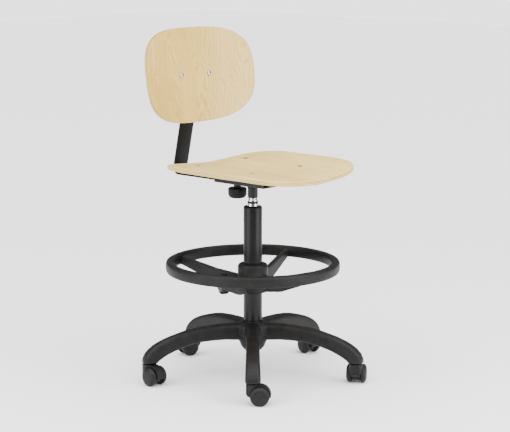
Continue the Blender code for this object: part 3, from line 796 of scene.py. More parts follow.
# ---- star base ------------------------------------------------------------------------------
@dataclass
class StarBase:
    """A nylon star: a round hub whose five arms leave it level and turn down at their ends."""

    hub_radius: float = 41 * MM
    tube_radius: float = 25 * MM
    arms: int = 5
    socket_radius: float = 5.8 * MM
    section_steps: int = 36
    grid: float = 1.9 * MM

    def arm_stations(self) -> list[tuple[float, float, float, float, float]]:
        """Reach, height, fall in degrees, half width and half height along an arm, in mm.

        Returns:
            The stations, from the hub outwards.
        """
        return [(6, 123.0, 0, 22.0, 24.0), (40, 125.2, 1, 19.6, 23.6), (80, 127.0, 3, 18.2, 21.8),
                (115, 126.2, 6, 17.8, 20.8), (150, 123.5, 10, 17.8, 20.0), (178, 118.6, 13, 18.0, 19.8),
                (205, 111.0, 17, 18.2, 19.8), (228, 103.6, 21, 18.5, 20.1), (248, 95.0, 27, 18.9, 20.5),
                (262, 87.8, 36, 19.3, 20.7), (273.5, 79.6, 49, 19.8, 20.8), (281, 72.4, 63, 20.1, 20.6),
                (285.6, 65.2, 78, 20.3, 20.4), (287, 57.6, 90, 20.2, 20.2)]

    def arm(self) -> Shape:
        """One arm along +X.

        Returns:
            The shape.
        """
        sections = []
        for reach, height, fall, half_width, half_height in self.arm_stations():
            place = Matrix.Translation((reach * MM, 0, height * MM))
            lean = Matrix.Rotation(math.radians(90 + fall), 4, "Y")
            sections.append((place @ lean, half_height * MM, half_width * MM, 0.58))
        return bridged(sections, self.section_steps)

    def web(self, low: float, high: float) -> Shape:
        """The thick web that fills the corners between the arms at the hub.

        Args:
            low: the lowest level or corner.
            high: the highest level or corner.

        Returns:
            The shape.
        """
        reach = self.hub_radius + 6 * MM
        return turned([(0, low + 30 * MM), (reach - 12 * MM, low + 32 * MM), (reach, low + 40 * MM),
                       (reach, high - 9 * MM), (reach - 4 * MM, high - 4 * MM), (0, high - 3.5 * MM)])

    def hub(self, low: float, high: float) -> Shape:
        """The hub about the column.

        Args:
            low: the lowest level or corner.
            high: the highest level or corner.

        Returns:
            The shape.
        """
        r = self.hub_radius
        return turned([(0, low), (r - 12 * MM, low), (r - 9 * MM, low + 6 * MM),
                       (r - 3 * MM, low + 20 * MM), (r, low + 32 * MM), (r, high - 8 * MM),
                       (r - 3 * MM, high - 2 * MM),
                       (r - 8 * MM, high + 0.6 * MM), (0, high + 0.6 * MM)])

    def build(self) -> None:
        """Models the star and the collar ring in its mouth."""
        axis = column_axis()
        low = 78 * MM
        collar_low, collar_high = height_of("base_collar")
        high = collar_low - GAP
        shapes = [placed(self.hub(low, high), Matrix.Translation(axis)),
                  placed(self.web(low, high), Matrix.Translation(axis))]
        for number in range(1, self.arms + 1):
            foot = centre_of(f"castor_{number}_stem") - axis
            shapes.append(placed(self.arm(), stand(axis, azimuth_of(foot))))
        star = moulded(shapes, self.grid, 5)
        cuts = [rod(self.tube_radius + GAP, axis, axis + Vector((0, 0, 0.2)), FINE)]
        for number in range(1, self.arms + 1):
            foot = centre_of(f"castor_{number}_stem")
            mouth = Vector((foot.x, foot.y, 0.05))
            cuts.append(rod(self.socket_radius, mouth, Vector((foot.x, foot.y, 88.4 * MM)), 48))
        dress(carved(star, (), cuts), "star_base_moulding", NYLON, "base", ["star_base"])
        inner, outer = self.tube_radius + GAP, 29.2 * MM
        collar = turned([(inner, collar_low), (outer, collar_low), (outer, collar_high - 1.5 * MM),
                         (outer - 1.2 * MM, collar_high), (inner, collar_high)], True, edge=0.4 * MM)
        dress(placed(collar, Matrix.Translation(axis)), "hub_collar_ring", KNOB, "base", ["base_collar"])


# ---- castors --------------------------------------------------------------------------------
@dataclass
class Castor:
    """A twin-wheel castor: a hooded body on a stem, with a domed wheel on each side of it."""

    number: int
    wheel_radius: float = 25 * MM
    inner: float = 12.8 * MM
    outer: float = 27.2 * MM
    trail: float = 18 * MM
    top: float = 54.8 * MM
    hood_outer: float = 28.8 * MM
    hood_inner: float = 25.8 * MM
    boss_radius: float = 17.5 * MM
    grid: float = 0.85 * MM

    def housing(self) -> Shape:
        """The housing about its swivel axis, its trail along +X.

        Returns:
            The shape.
        """
        hub = (self.trail, self.wheel_radius)
        back = -self.boss_radius
        web_half = self.inner - 0.6 * MM
        web = [(back, self.top), (back, 33 * MM), (-16.9 * MM, 29.5 * MM), (-15.6 * MM, 26.3 * MM),
               (-13 * MM, 23.5 * MM), (-9.5 * MM, 21.5 * MM), *arc(hub, 19.5 * MM, 200, 340, 20),
               (42.5 * MM, 20.5 * MM), (44.2 * MM, 20.6 * MM), (45.6 * MM, 21.6 * MM),
               (46.5 * MM, 23.6 * MM), *arc(hub, self.hood_outer, 2, 80, 16), (12 * MM, self.top)]
        boss = turned([(0, 27 * MM), (self.boss_radius, 27 * MM), (self.boss_radius, self.top),
                       (0, self.top)])
        skin = moulded([prism(web, web_half), boss], self.grid, 3)
        rooms = [rod(5.8 * MM, Vector((0, 0, 38.5 * MM)), Vector((0, 0, 70 * MM)), 48),
                 rod(3.3 * MM, Vector((self.trail, -0.03, self.wheel_radius)),
                     Vector((self.trail, 0.03, self.wheel_radius)), 32)]
        for side in Side:
            near = Vector((self.trail, side.value * web_half, self.wheel_radius))
            far = Vector((self.trail, side.value * 40 * MM, self.wheel_radius))
            rooms.append(rod(self.hood_inner, near, far, FINE))
        return carved(skin, (), rooms)

    def wheel(self, side: Side) -> Shape:
        """A wheel about the axle's middle: rounded tread and a domed face with a fine groove.

        Args:
            side: which wheel.

        Returns:
            The shape.
        """
        width = self.outer - self.inner
        r = self.wheel_radius
        tread = arc((r - 3.2 * MM, 3.2 * MM), 3.2 * MM, -80, 0, 6)
        shoulder = [(r, 6.3 * MM), (r - 0.15 * MM, 7.4 * MM), (r - 0.55 * MM, 8.4 * MM),
                    (r - 1.25 * MM, 9.5 * MM), (r - 2.2 * MM, 10.5 * MM), (r - 3.2 * MM, 11.3 * MM),
                    (r - 4.1 * MM, 11.85 * MM)]
        face = [(r - 4.5 * MM, 11.75 * MM), (r - 4.9 * MM, 12.25 * MM), (r - 6.6 * MM, 13.05 * MM),
                (r - 9.5 * MM, 13.8 * MM), (r - 12.5 * MM, 14.25 * MM), (8 * MM, width), (0.0, width)]
        axle = [(0.0, width - 0.8 * MM), (3.3 * MM, width - 0.8 * MM), (3.3 * MM, 0.0)]
        bm = turned([*axle, (8 * MM, 0.0), *tread, *shoulder, *face])
        turn = Matrix.Rotation(math.radians(-90 * side.value), 4, "X")
        return placed(bm, Matrix.Translation((0, side.value * self.inner, 0)) @ turn)

    def stem(self) -> Shape:
        """The stem with the collar that the arm's end rests on.

        Returns:
            The shape.
        """
        return turned([(0, 39 * MM), (5.5 * MM, 39 * MM), (5.5 * MM, 55.1 * MM), (9.5 * MM, 55.1 * MM),
                       (9.5 * MM, 57.4 * MM), (5.5 * MM, 57.4 * MM), (5.5 * MM, 86 * MM),
                       (4 * MM, 87.8 * MM), (0, 87.8 * MM)], steps=48, edge=0.3 * MM)

    def build(self, housing: Shape) -> None:
        """Dresses this castor's pieces.

        Args:
            housing: the shape from housing(), which all five castors share.
        """
        name = f"castor_{self.number}"
        foot = centre_of(f"{name}_stem")
        hub = centre_of(f"{name}_axle")
        azimuth = azimuth_of(hub - foot)
        place = stand(Vector((foot.x, foot.y, 0.0)), azimuth)
        dress(placed(housing, place), f"{name}_hood", NYLON, name, [f"{name}_housing"])
        dress(placed(self.stem(), place), f"{name}_swivel_stem", ZINC, name, [f"{name}_stem"])
        for side in Side:
            word = side.name.lower()
            wheel = placed(self.wheel(side), stand(hub, azimuth))
            dress(wheel, f"{name}_{word}_tyre", WHEEL, f"{name}_{word}", [f"{name}_wheel_{word}"])


# ---- column and gas lift --------------------------------------------------------------------
@dataclass
class Column:
    """The outer tube, its guide bush, the chromed cylinder and the cylinder's collar."""

    radius: float = 25 * MM
    wall: float = 1.5 * MM
    cylinder: float = 14 * MM
    cone: float = 10.8 * MM

    def tube(self, low: float, high: float) -> Shape:
        """The powder-coated tube."""
        inner = self.radius - self.wall
        wall = [(inner, low), (self.radius, low), (self.radius, high), (inner, high)]
        return turned(wall, True, edge=0.45 * MM)

    def bush(self, low: float, high: float, seat: float) -> Shape:
        """The guide bush, whose rounded shoulder closes the tube.

        Args:
            low: the lowest level or corner.
            high: the highest level or corner.
            seat: the level where its shoulder rests.

        Returns:
            The shape.
        """
        inner = self.radius - self.wall - GAP
        slide = self.cylinder + GAP
        rise = high - seat
        shoulder = arc((self.radius - rise, seat), rise, 0, 90, 10)
        return turned([(slide, low), (inner, low), (inner, seat), *shoulder, (slide + 0.8 * MM, high),
                       (slide, high - 0.8 * MM)], True)

    def chrome(self, low: float, collar: tuple[float, float], socket: float) -> Shape:
        """The cylinder with its necked cone.

        Args:
            low: the lowest level or corner.
            collar: the collar's lowest and highest levels.
            socket: the level of the socket's foot.

        Returns:
            The shape.
        """
        r = self.cylinder
        _, top = height_of("gas_cylinder")
        return turned([(5.3 * MM, low), (r - 1 * MM, low), (r, low + 1 * MM), (r, collar[0] - GAP),
                       (12.2 * MM, collar[0] - GAP), (12.2 * MM, collar[1] + GAP),
                       (13.2 * MM, collar[1] + GAP), (self.cone + 0.8 * MM, socket - 3.5 * MM),
                       (self.cone, socket - 1.5 * MM),
                       (self.cone - 0.4 * MM, top), (3.4 * MM, top), (3.4 * MM, top - 5 * MM),
                       (0.8 * MM, top - 5 * MM), (0.8 * MM, 0.445), (11.3 * MM, 0.435),
                       (11.3 * MM, low + 12 * MM), (5.3 * MM, low + 12 * MM)], True, edge=0.25 * MM)

    def build(self) -> None:
        """Models the column."""
        move = Matrix.Translation(column_axis())
        low, high = height_of("column_tube")
        bush_low, bush_high = height_of("guide_bush")
        collar = height_of("cylinder_collar")
        socket, _ = height_of("seat_socket")
        lift_low, _ = height_of("gas_cylinder")
        dress(placed(self.tube(low, high), move), "outer_column_tube", COAT, "base", ["column_tube"])
        bush = self.bush(bush_low, bush_high, high + GAP)
        dress(placed(bush, move), "column_guide_bush", KNOB, "base", ["guide_bush"])
        chrome = self.chrome(lift_low, collar, socket)
        dress(placed(chrome, move), "chromed_cylinder", CHROME, "lift", ["gas_cylinder"])
        ring = turned([(12.5 * MM, collar[0]), (14.1 * MM, collar[0]), (14.1 * MM, collar[1]),
                       (12.5 * MM, collar[1])], True, edge=0.5 * MM)
        dress(placed(ring, move), "cylinder_neck_collar", KNOB, "lift", ["cylinder_collar"])


# ---- foot ring ------------------------------------------------------------------------------
@dataclass
class FootRing:
    """One nylon moulding, a rim on four ribs about a hub, clamped by a star knob."""

    radius: float = 233 * MM
    width: float = 23 * MM
    hub_radius: float = 40.5 * MM
    bore: float = 25.3 * MM
    rib_half: float = 7 * MM
    first_rib: float = 17.5
    knob_azimuth: float = -117.5
    knob_reach: float = 68 * MM
    knob_radius: float = 28 * MM
    lobes: int = 6
    grid: float = 1.9 * MM

    def rim(self, low: float, high: float) -> Shape:
        """The rim, its section a rounded oblong.

        Args:
            low: the lowest level or corner.
            high: the highest level or corner.

        Returns:
            The shape.
        """
        bm = bmesh.new()
        ring = bmesh.ops.create_circle(bm, cap_ends=False, segments=40, radius=1.0)["verts"]
        middle, half_x, half_z = self.radius - self.width / 2, self.width / 2, (high - low) / 2
        for vert in ring:
            x = math.copysign(abs(vert.co.x) ** 0.58, vert.co.x)
            z = math.copysign(abs(vert.co.y) ** 0.58, vert.co.y)
            vert.co = Vector((middle + half_x * x, 0.0, (low + high) / 2 + half_z * z))
        bmesh.ops.spin(bm, geom=bm.verts[:] + bm.edges[:], cent=(0, 0, 0), axis=(0, 0, 1), steps=180,
                       angle=math.tau, use_merge=True)
        return clean(bm)

    def hub(self, low: float, high: float) -> Shape:
        """The hub that slides on the column.

        Args:
            low: the lowest level or corner.
            high: the highest level or corner.

        Returns:
            The shape.
        """
        r = self.hub_radius
        return turned([(0, low), (r - 4 * MM, low), (r, low + 4 * MM), (r, high - 8 * MM),
                       (r - 2.4 * MM, high - 2.4 * MM),
                       (r - 8 * MM, high + 0.5 * MM), (0, high + 0.5 * MM)])

    def rib(self, rim_low: float, rim_high: float, hub_low: float) -> Shape:
        """One rib along +X, deep at the hub and rising to the rim.

        Args:
            rim_low: the rim's underside.
            rim_high: the rim's top.
            hub_low: the hub's underside.

        Returns:
            The shape.
        """
        end = self.radius - self.width / 2
        outline = [(30 * MM, hub_low + 1.5 * MM), (85 * MM, 238 * MM), (140 * MM, 258.5 * MM),
                   (end, rim_low + 4 * MM),
                   (end, rim_high - 6 * MM), (self.radius - self.width, 310 * MM), (110 * MM, 285.5 * MM),
                   (30 * MM, 274 * MM)]
        return prism(outline, self.rib_half)

    def knob(self) -> Shape:
        """The star knob along +Z: a lobed head with a dished face on a tapered neck.

        Returns:
            The shape.
        """
        r = self.knob_radius
        bm = turned([(0, 12 * MM), (4.3 * MM, 12 * MM), (4.3 * MM, -24 * MM), (12.5 * MM, -24 * MM),
                     (15 * MM, -10 * MM), (15 * MM, 0), (r - 5 * MM, 0), (r - 1.5 * MM, 3 * MM),
                     (r, 8 * MM),
                     (r, 20 * MM), (r - 2 * MM, 25 * MM), (r - 6 * MM, 26.8 * MM), (13 * MM, 26 * MM),
                     (0, 25.4 * MM)], steps=144)
        for vert in bm.verts:
            reach = math.hypot(vert.co.x, vert.co.y)
            if reach > 15.1 * MM:
                wave = 0.5 - 0.5 * math.cos(self.lobes * math.atan2(vert.co.y, vert.co.x))
                share = (reach - 15 * MM) / (self.knob_radius - 15 * MM)
                scale = 1 - 5.5 * MM * wave * share / reach
                vert.co.x *= scale
                vert.co.y *= scale
        return soften(bm, 0.8 * MM, 3, 25.0)

    def build(self) -> None:
        """Models the ring and its knob."""
        axis = column_axis()
        move = Matrix.Translation(axis)
        hub_low, rim_high = height_of("foot_ring")
        rim_low, hub_high = 287 * MM, 309.3 * MM
        shapes = [self.rim(rim_low, rim_high), self.hub(hub_low, hub_high)]
        for quarter in range(4):
            turn = stand(Vector(), self.first_rib + 90.0 * quarter)
            shapes.append(placed(self.rib(rim_low, rim_high, hub_low), turn))
        ring = moulded(shapes, self.grid, 4)
        bore = rod(self.bore, Vector((0, 0, 0.2)), Vector((0, 0, 0.35)), FINE)
        height = centre_of("ring_screw").z
        outward = direction(self.knob_azimuth)
        lift = Vector((0, 0, height))
        screw_way = rod(4.3 * MM, lift + outward * 0.015, lift + outward * 0.05, 32)
        ring = carved(ring, (), [bore, screw_way])
        dress(placed(ring, move), "foot_ring_moulding", NYLON, "foot_ring_carrier", ["foot_ring"])
        spot = axis + outward * self.knob_reach + lift
        lay = Matrix.Rotation(math.radians(90), 4, "Y")
        knob = placed(self.knob(), stand(spot, self.knob_azimuth) @ lay)
        dress(knob, "foot_ring_star_knob", KNOB, "ring_clamp", ["ring_knob"])


# ---- plywood shells -------------------------------------------------------------------------
@dataclass
class PlyShell:
    """A pressed plywood sheet with a rounded outline and a well-rounded rim."""

    half_width: float
    half_length: float
    corner: float
    ply: float
    rim: float = 3.2 * MM
    cells: int = 72

    def outline(self, across: float, along: float) -> tuple[float, float]:
        """Maps a point of the square from -1 to 1 onto the rounded outline.

        Args:
            across: place from side to side, -1 to 1.
            along: place from front to rear, -1 to 1.

        Returns:
            The point.
        """
        share = max(abs(across), abs(along))
        if share < 1e-9:
            return 0.0, 0.0
        angle = math.atan2(along, across)
        wide, long = abs(math.cos(angle) / self.half_width), abs(math.sin(angle) / self.half_length)
        reach = share * (wide ** self.corner + long ** self.corner) ** (-1 / self.corner)
        return reach * math.cos(angle), reach * math.sin(angle)

    def sheet(self, surface: Callable, through: Callable) -> Shape:
        """The pressed sheet.

        Args:
            surface: gives the upper point for a place on the flat outline.
            through: gives the step to the lower face there.

        Returns:
            The closed shape with its rim rounded.
        """
        bm = bmesh.new()
        bmesh.ops.create_grid(bm, x_segments=self.cells, y_segments=self.cells, size=1.0)
        result = bmesh.ops.extrude_face_region(bm, geom=bm.faces[:])
        lower = {item for item in result["geom"] if isinstance(item, bmesh.types.BMVert)}
        for vert in bm.verts:
            u, v = self.outline(vert.co.x, vert.co.y)
            vert.co = surface(u, v) + (through(u, v) if vert in lower else Vector())
        clean(bm)
        return soften(bm, self.rim, 4, 60.0)


@dataclass
class Seat:
    """The dished seat, its four fixings and the pressed-steel mount under it."""

    axis: Vector
    shell: PlyShell
    centre_y: float = -29.5 * MM
    height: float = 564.8 * MM
    slope: float = 0.0077
    side_rise: float = 17.6 * MM
    front_drop: float = 9.3 * MM
    bolt_hole: float = 3.3 * MM
    plate_half: float = 112 * MM
    plate_front: float = -105 * MM
    plate_rear: float = 133 * MM
    plate: float = 3 * MM
    clearance: float = 1.2 * MM
    floor: float = 520.5 * MM
    channel_half: float = 34 * MM
    knob_y: float = 56.5 * MM

    def top(self, x: float, y: float) -> float:
        """Height of the seat's upper face at a place from the column's axis.

        Args:
            x: place to the side.
            y: place to the rear.

        Returns:
            The height.
        """
        side = abs(x) / self.shell.half_width
        front = max(0.0, -138 * MM - y) / 0.1
        dish = self.side_rise * side ** 1.35 - self.front_drop * front ** 2
        return self.height + self.slope * (y - 15 * MM) + dish

    def depth(self, point: Vector) -> float:
        """How far through the ply a point lies, 0 on top and 1 below.

        Args:
            point: the point.

        Returns:
            The share.
        """
        place = point - self.axis
        share = (self.top(place.x, place.y) - place.z) / self.shell.ply
        return min(1.0, max(0.0, share))

    def spots(self) -> list[Vector]:
        """The four fixings, on the upper face.

        Returns:
            Their places.
        """
        found = []
        for number in range(1, 5):
            spot = centre_of(f"seat_bolt_{number}") - self.axis
            found.append(Vector((spot.x, spot.y, self.top(spot.x, spot.y))))
        return found

    def bolt(self) -> Shape:
        """A flush pan head with a six-sided recess, on a threaded shank.

        Returns:
            The shape.
        """
        head = turned([(0, -20.5 * MM), (2.4 * MM, -20.5 * MM), (3 * MM, -19.9 * MM), (3 * MM, -2.5 * MM),
                       (7.8 * MM, -2.5 * MM), (7.8 * MM, -1.3 * MM), (6.6 * MM, -0.5 * MM), (4.8 * MM, 0.0),
                       (0, 0.2 * MM)], steps=48, edge=0.15 * MM)
        socket = turned([(0, -1.9 * MM), (2.9 * MM, -1.9 * MM), (2.9 * MM, 2 * MM), (0, 2 * MM)], steps=6)
        return carved(head, (), [socket])

    def mount(self) -> Shape:
        """The pressed mount: a top plate that follows the seat over a channel for the back bar.

        Returns:
            The shape.
        """
        bm = bmesh.new()
        bmesh.ops.create_grid(bm, x_segments=40, y_segments=24, size=1.0)
        result = bmesh.ops.extrude_face_region(bm, geom=bm.faces[:])
        lower = {item for item in result["geom"] if isinstance(item, bmesh.types.BMVert)}
        middle, half = (self.plate_front + self.plate_rear) / 2, (self.plate_rear - self.plate_front) / 2
        for vert in bm.verts:
            x, y = vert.co.x * self.plate_half, middle + vert.co.y * half
            z = self.top(x, y) - self.shell.ply - self.clearance
            vert.co = Vector((x, y, z - (self.plate if vert in lower else 0.0)))
        soften(clean(bm), 0.7 * MM, 3, 60.0)
        over = self.shell.ply + self.clearance + 1 * MM
        rear, front = self.top(0, 0.110) - over, self.top(0, -0.070) - over
        webs = []
        for side in Side:
            web = prism([(-0.070, self.floor), (0.110, self.floor), (0.110, rear), (-0.070, front)],
                        self.plate / 2, 0.6 * MM)
            placed(web, Matrix.Rotation(math.radians(90), 4, "Z"))
            offset = side.value * (self.channel_half - self.plate / 2)
            webs.append(placed(web, Matrix.Translation((offset, 0, 0))))
        tray = block((-self.channel_half, -0.070, self.floor),
                     (self.channel_half, 0.110, self.floor + self.plate), 0.6 * MM)
        pin = centre_of("lever_pin") - self.axis
        ears = []
        for near, far in ((-13.5 * MM, -10.5 * MM), (10.5 * MM, 13.5 * MM)):
            corner = (32.5 * MM, far, pin.z + 5 * MM)
            ears.append(block((19 * MM, near, self.floor + 1 * MM), corner, 0.5 * MM))
        across = Vector((0, 15 * MM, 0))
        post = centre_of("seat_socket") - self.axis
        cuts = [rod(13.8 * MM, Vector((post.x, post.y, 0.50)), Vector((post.x, post.y, 0.54)), 64),
                rod(2.8 * MM, pin - across, pin + across, 32),
                rod(4.3 * MM, Vector((0, self.knob_y, 0.50)), Vector((0, self.knob_y, 0.53)), 32),
                block((20 * MM, -7.5 * MM, 526.5 * MM), (45 * MM, 7.5 * MM, 542.5 * MM))]
        for spot in self.spots():
            cuts.append(rod(self.bolt_hole, spot - Vector((0, 0, 0.03)), spot, 32))
        return carved(bm, [*webs, tray, *ears], cuts)

    def socket(self) -> Shape:
        """The tapered socket that sits on the cylinder's cone, with its chamfered foot and flange.

        Returns:
            The shape.
        """
        low, high = height_of("seat_socket")
        bore, outer, flange = 11.1 * MM, 13.5 * MM, self.floor - GAP
        return turned([(bore, low), (outer - 1.2 * MM, low), (outer, low + 1.4 * MM), (outer, 511.5 * MM),
                       (15.4 * MM, 516 * MM), (18.4 * MM, 518 * MM), (19 * MM, 518.7 * MM),
                       (19 * MM, flange),
                       (outer, flange), (outer, high), (bore, high)], True, edge=0.3 * MM)

    def build(self) -> None:
        """Models the seat and its mount."""
        move = Matrix.Translation(self.axis)

        def surface(u: float, v: float) -> Vector:
            """The upper face."""
            return Vector((u, self.centre_y + v, self.top(u, self.centre_y + v)))

        def through(u: float, v: float) -> Vector:
            """Straight down through the ply."""
            return Vector((0, 0, -self.shell.ply))

        sheet = self.shell.sheet(surface, through)
        cuts = []
        for spot in self.spots():
            cuts.append(turned([(0, -20 * MM), (self.bolt_hole, -20 * MM), (self.bolt_hole, -2.7 * MM),
                                (8.3 * MM, -2.7 * MM), (8.3 * MM, 10 * MM), (0, 10 * MM)], steps=48))
            placed(cuts[-1], Matrix.Translation(spot))
        sheet = carved(sheet, (), cuts)
        dress(placed(sheet, move), "seat_ply_shell", SEAT_PLY, "seat", ["seat_shell"], self.depth)
        for number, spot in enumerate(self.spots(), 1):
            bolt = placed(self.bolt(), move @ Matrix.Translation(spot))
            dress(bolt, f"seat_fixing_{number}", DARK_ZINC, "seat", [f"seat_bolt_{number}"])
        dress(placed(self.mount(), move), "pressed_seat_mount", COAT, "seat", ["mount_plate"])
        dress(placed(self.socket(), move), "cone_socket", COAT, "seat", ["seat_socket"])


@dataclass
class Back:
    """The curved back, its bolts, nuts and plate, and the flat bar that carries it."""

    axis: Vector
    shell: PlyShell
    height: float = 800.2 * MM
    y: float = 214.6 * MM
    lean: float = 8.1
    radius: float = 630 * MM
    bolt_x: float = 52.5 * MM
    plate: float = 4 * MM
    bar: float = 6 * MM
    bar_half: float = 25 * MM
    bar_top: float = 832 * MM
    level: float = 526.8 * MM
    bend: float = 16 * MM

    def frame(self) -> Matrix:
        """The leaning frame: X across, Y to the rear, Z up along the back."""
        return (Matrix.Translation(self.axis) @ Matrix.Translation((0, self.y, self.height))
                @ Matrix.Rotation(math.radians(-self.lean), 4, "X"))

    def curl(self, u: float) -> float:
        """How far the front face lies ahead at a distance from the middle."""
        return self.radius - math.sqrt(self.radius ** 2 - u ** 2)

    def depth(self, point: Vector) -> float:
        """How far through the ply a point lies, 0 in front and 1 behind.

        Args:
            point: the point.

        Returns:
            The share.
        """
        place = self.frame().inverted() @ point
        middle = Vector((0.0, -self.radius))
        reach = (Vector((place.x, place.y)) - middle).length - self.radius
        return min(1.0, max(0.0, reach / self.shell.ply))

    def sheet(self) -> Shape:
        """The shell in its own frame, with a spot face for each bolt.

        Returns:
            The shape.
        """
        def surface(u: float, v: float) -> Vector:
            """The front face."""
            return Vector((u, -self.curl(u), v))

        def through(u: float, v: float) -> Vector:
            """Square through the ply."""
            turn = math.asin(u / self.radius)
            return Vector((math.sin(turn), math.cos(turn), 0)) * self.shell.ply

        cuts = []
        for side in Side:
            cut = turned([(0, -40 * MM), (3.3 * MM, -40 * MM), (3.3 * MM, -0.75 * MM),
                          (8.0 * MM, -0.75 * MM), (8.0 * MM, 10 * MM), (0, 10 * MM)], steps=64)
            cuts.append(placed(cut, self.bolt_place(side)))
        return carved(self.shell.sheet(surface, through), (), cuts)

    def bolt_place(self, side: Side) -> Matrix:
        """Takes +Z to the front of the back at a bolt."""
        spot = Matrix.Translation((side.value * self.bolt_x, -self.curl(self.bolt_x), 0))
        return spot @ Matrix.Rotation(math.radians(90), 4, "X")

    def bolt(self, length: float) -> Shape:
        """A domed bolt.

        Args:
            length: the shank's length.

        Returns:
            The shape.
        """
        dome = [(7.2 * MM * math.cos(a), (1.2 + 3.1 * math.sin(a)) * MM)
                for a in [math.radians(9 * step) for step in range(10)]]
        return turned([(0, -length), (2.5 * MM, -length), (3 * MM, -length + 0.5 * MM), (3 * MM, -0.6 * MM),
                       (7.0 * MM, -0.6 * MM), (7.3 * MM, -0.3 * MM), (7.3 * MM, 0.8 * MM), *dome[:-1],
                       (0, 4.3 * MM)], steps=64)

    def nut(self) -> Shape:
        """A hexagon nut with its corners turned off."""
        wall = [(3.4 * MM, 0.0), (5.8 * MM, 0.0), (5.8 * MM, 4.5 * MM), (3.4 * MM, 4.5 * MM)]
        nut = turned(wall, True, 6)
        return soften(nut, 0.3 * MM, 2, 40.0)

    def centre_line(self) -> Profile:
        """The bar's centre line as (y, z), level under the seat, then up and against the back.

        Returns:
            The points.
        """
        lean = math.radians(self.lean)
        behind = (self.shell.ply + self.plate + 2 * GAP + self.bar / 2) / math.cos(lean)
        low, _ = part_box("back_bar")
        centre = (257 * MM, self.level + self.bend)
        middle = (247 * MM, 665 * MM)
        upright = math.degrees(math.atan2(middle[1] - centre[1], 271 * MM - middle[0]))
        rise = [(self.y + behind + (z - self.height) * math.tan(lean), z) for z in (762 * MM, self.bar_top)]
        bend = arc(centre, self.bend, -90, 90 - upright, 24)
        eased = []
        before, after = Vector(bend[-1]), Vector(rise[0])
        for step in range(1, 25):
            share = step / 24
            keep, pull = (1 - share), share
            point = before * keep ** 2 + Vector(middle) * 2 * keep * pull + after * pull ** 2
            if share < 0.5:
                straight = before.lerp(Vector(middle), share * 2)
            else:
                straight = Vector(middle).lerp(after, share * 2 - 1)
            eased.append(tuple(point.lerp(straight, 0.72)))
        return [(low.y - self.axis.y, self.level), *bend, *eased, rise[1]]

    def strip(self) -> Shape:
        """The bent flat bar.

        Returns:
            The shape.
        """
        line = [Vector(point) for point in self.centre_line()]
        left, right = [], []
        for index, point in enumerate(line):
            run = (line[min(index + 1, len(line) - 1)] - line[max(index - 1, 0)]).normalized()
            normal = Vector((-run.y, run.x)) * self.bar / 2
            left.append(tuple(point + normal))
            right.append(tuple(point - normal))
        bar = prism(left + right[::-1], self.bar_half, 0.8 * MM)
        return placed(bar, Matrix.Rotation(math.radians(90), 4, "Z"))

    def build(self) -> None:
        """Models the back."""
        frame = self.frame()
        dress(placed(self.sheet(), frame), "back_ply_shell", SHADED_BACK_PLY, "back", ["back_shell"], self.depth)
        bar = placed(self.strip(), Matrix.Translation(self.axis))
        dress(bar, "bent_back_bar", BAR_COAT, "back", ["back_bar"])
        front = self.shell.ply + GAP
        plate = block((-70 * MM, front, -24 * MM), (70 * MM, front + self.plate, 24 * MM), 0.6 * MM)
        holes = []
        for side in Side:
            spot = Vector((side.value * self.bolt_x, 0, 0))
            holes.append(rod(3.3 * MM, spot - Vector((0, 0.03, 0)), spot + Vector((0, 0.03, 0)), 32))
        dress(placed(carved(plate, (), holes), frame), "back_spreader_plate", COAT, "back", ["back_plate"])
        nut_front = front + self.plate + GAP
        length = nut_front + 6 * MM + self.curl(self.bolt_x)
        for number, side in ((1, Side.RIGHT), (2, Side.LEFT)):
            bolt = placed(self.bolt(length), frame @ self.bolt_place(side))
            dress(bolt, f"back_domed_bolt_{number}", ZINC, "back", [f"back_bolt_{number}"])
            lay = Matrix.Translation((side.value * self.bolt_x, nut_front, 0))
            lay = lay @ Matrix.Rotation(math.radians(-90), 4, "X")
            nut = placed(self.nut(), frame @ lay)
            dress(nut, f"back_hexagon_nut_{number}", ZINC, "back", [f"back_nut_{number}"])


# ---- hand controls --------------------------------------------------------------------------
@dataclass
class DepthKnob:
    """The finely ribbed knob under the channel that clamps the back bar."""

    radius: float = 25 * MM
    ribs: int = 40
    rib_depth: float = 0.9 * MM

    def build(self) -> None:
        """Models the knob."""
        low, high = height_of("depth_knob")
        spot = centre_of("depth_knob")
        r, height, neck = self.radius, 27.8 * MM, high - low
        bm = turned([(0, 0), (r - 9.5 * MM, 0), *arc((r - 9.5 * MM, 8 * MM), 8 * MM, -75, -15, 6),
                     (r - 0.9 * MM, 7.5 * MM), (r, 9 * MM), (r, height - 3 * MM),
                     (r - 0.9 * MM, height - 1 * MM),
                     (r - 3 * MM, height), (9.8 * MM, height), (9.8 * MM, neck), (4.3 * MM, neck),
                     (4.3 * MM, height - 14 * MM), (0, height - 14 * MM)], steps=self.ribs * 6)
        for vert in bm.verts:
            reach = math.hypot(vert.co.x, vert.co.y)
            if reach > r - 2 * MM:
                wave = 0.5 - 0.5 * math.cos(self.ribs * math.atan2(vert.co.y, vert.co.x))
                scale = 1 - self.rib_depth * wave ** 2 / reach
                vert.co.x *= scale
                vert.co.y *= scale
        placed(bm, Matrix.Translation((spot.x, spot.y, low)))
        dress(bm, "ribbed_depth_knob", KNOB, "depth_clamp", ["depth_knob"], angle=38.0)


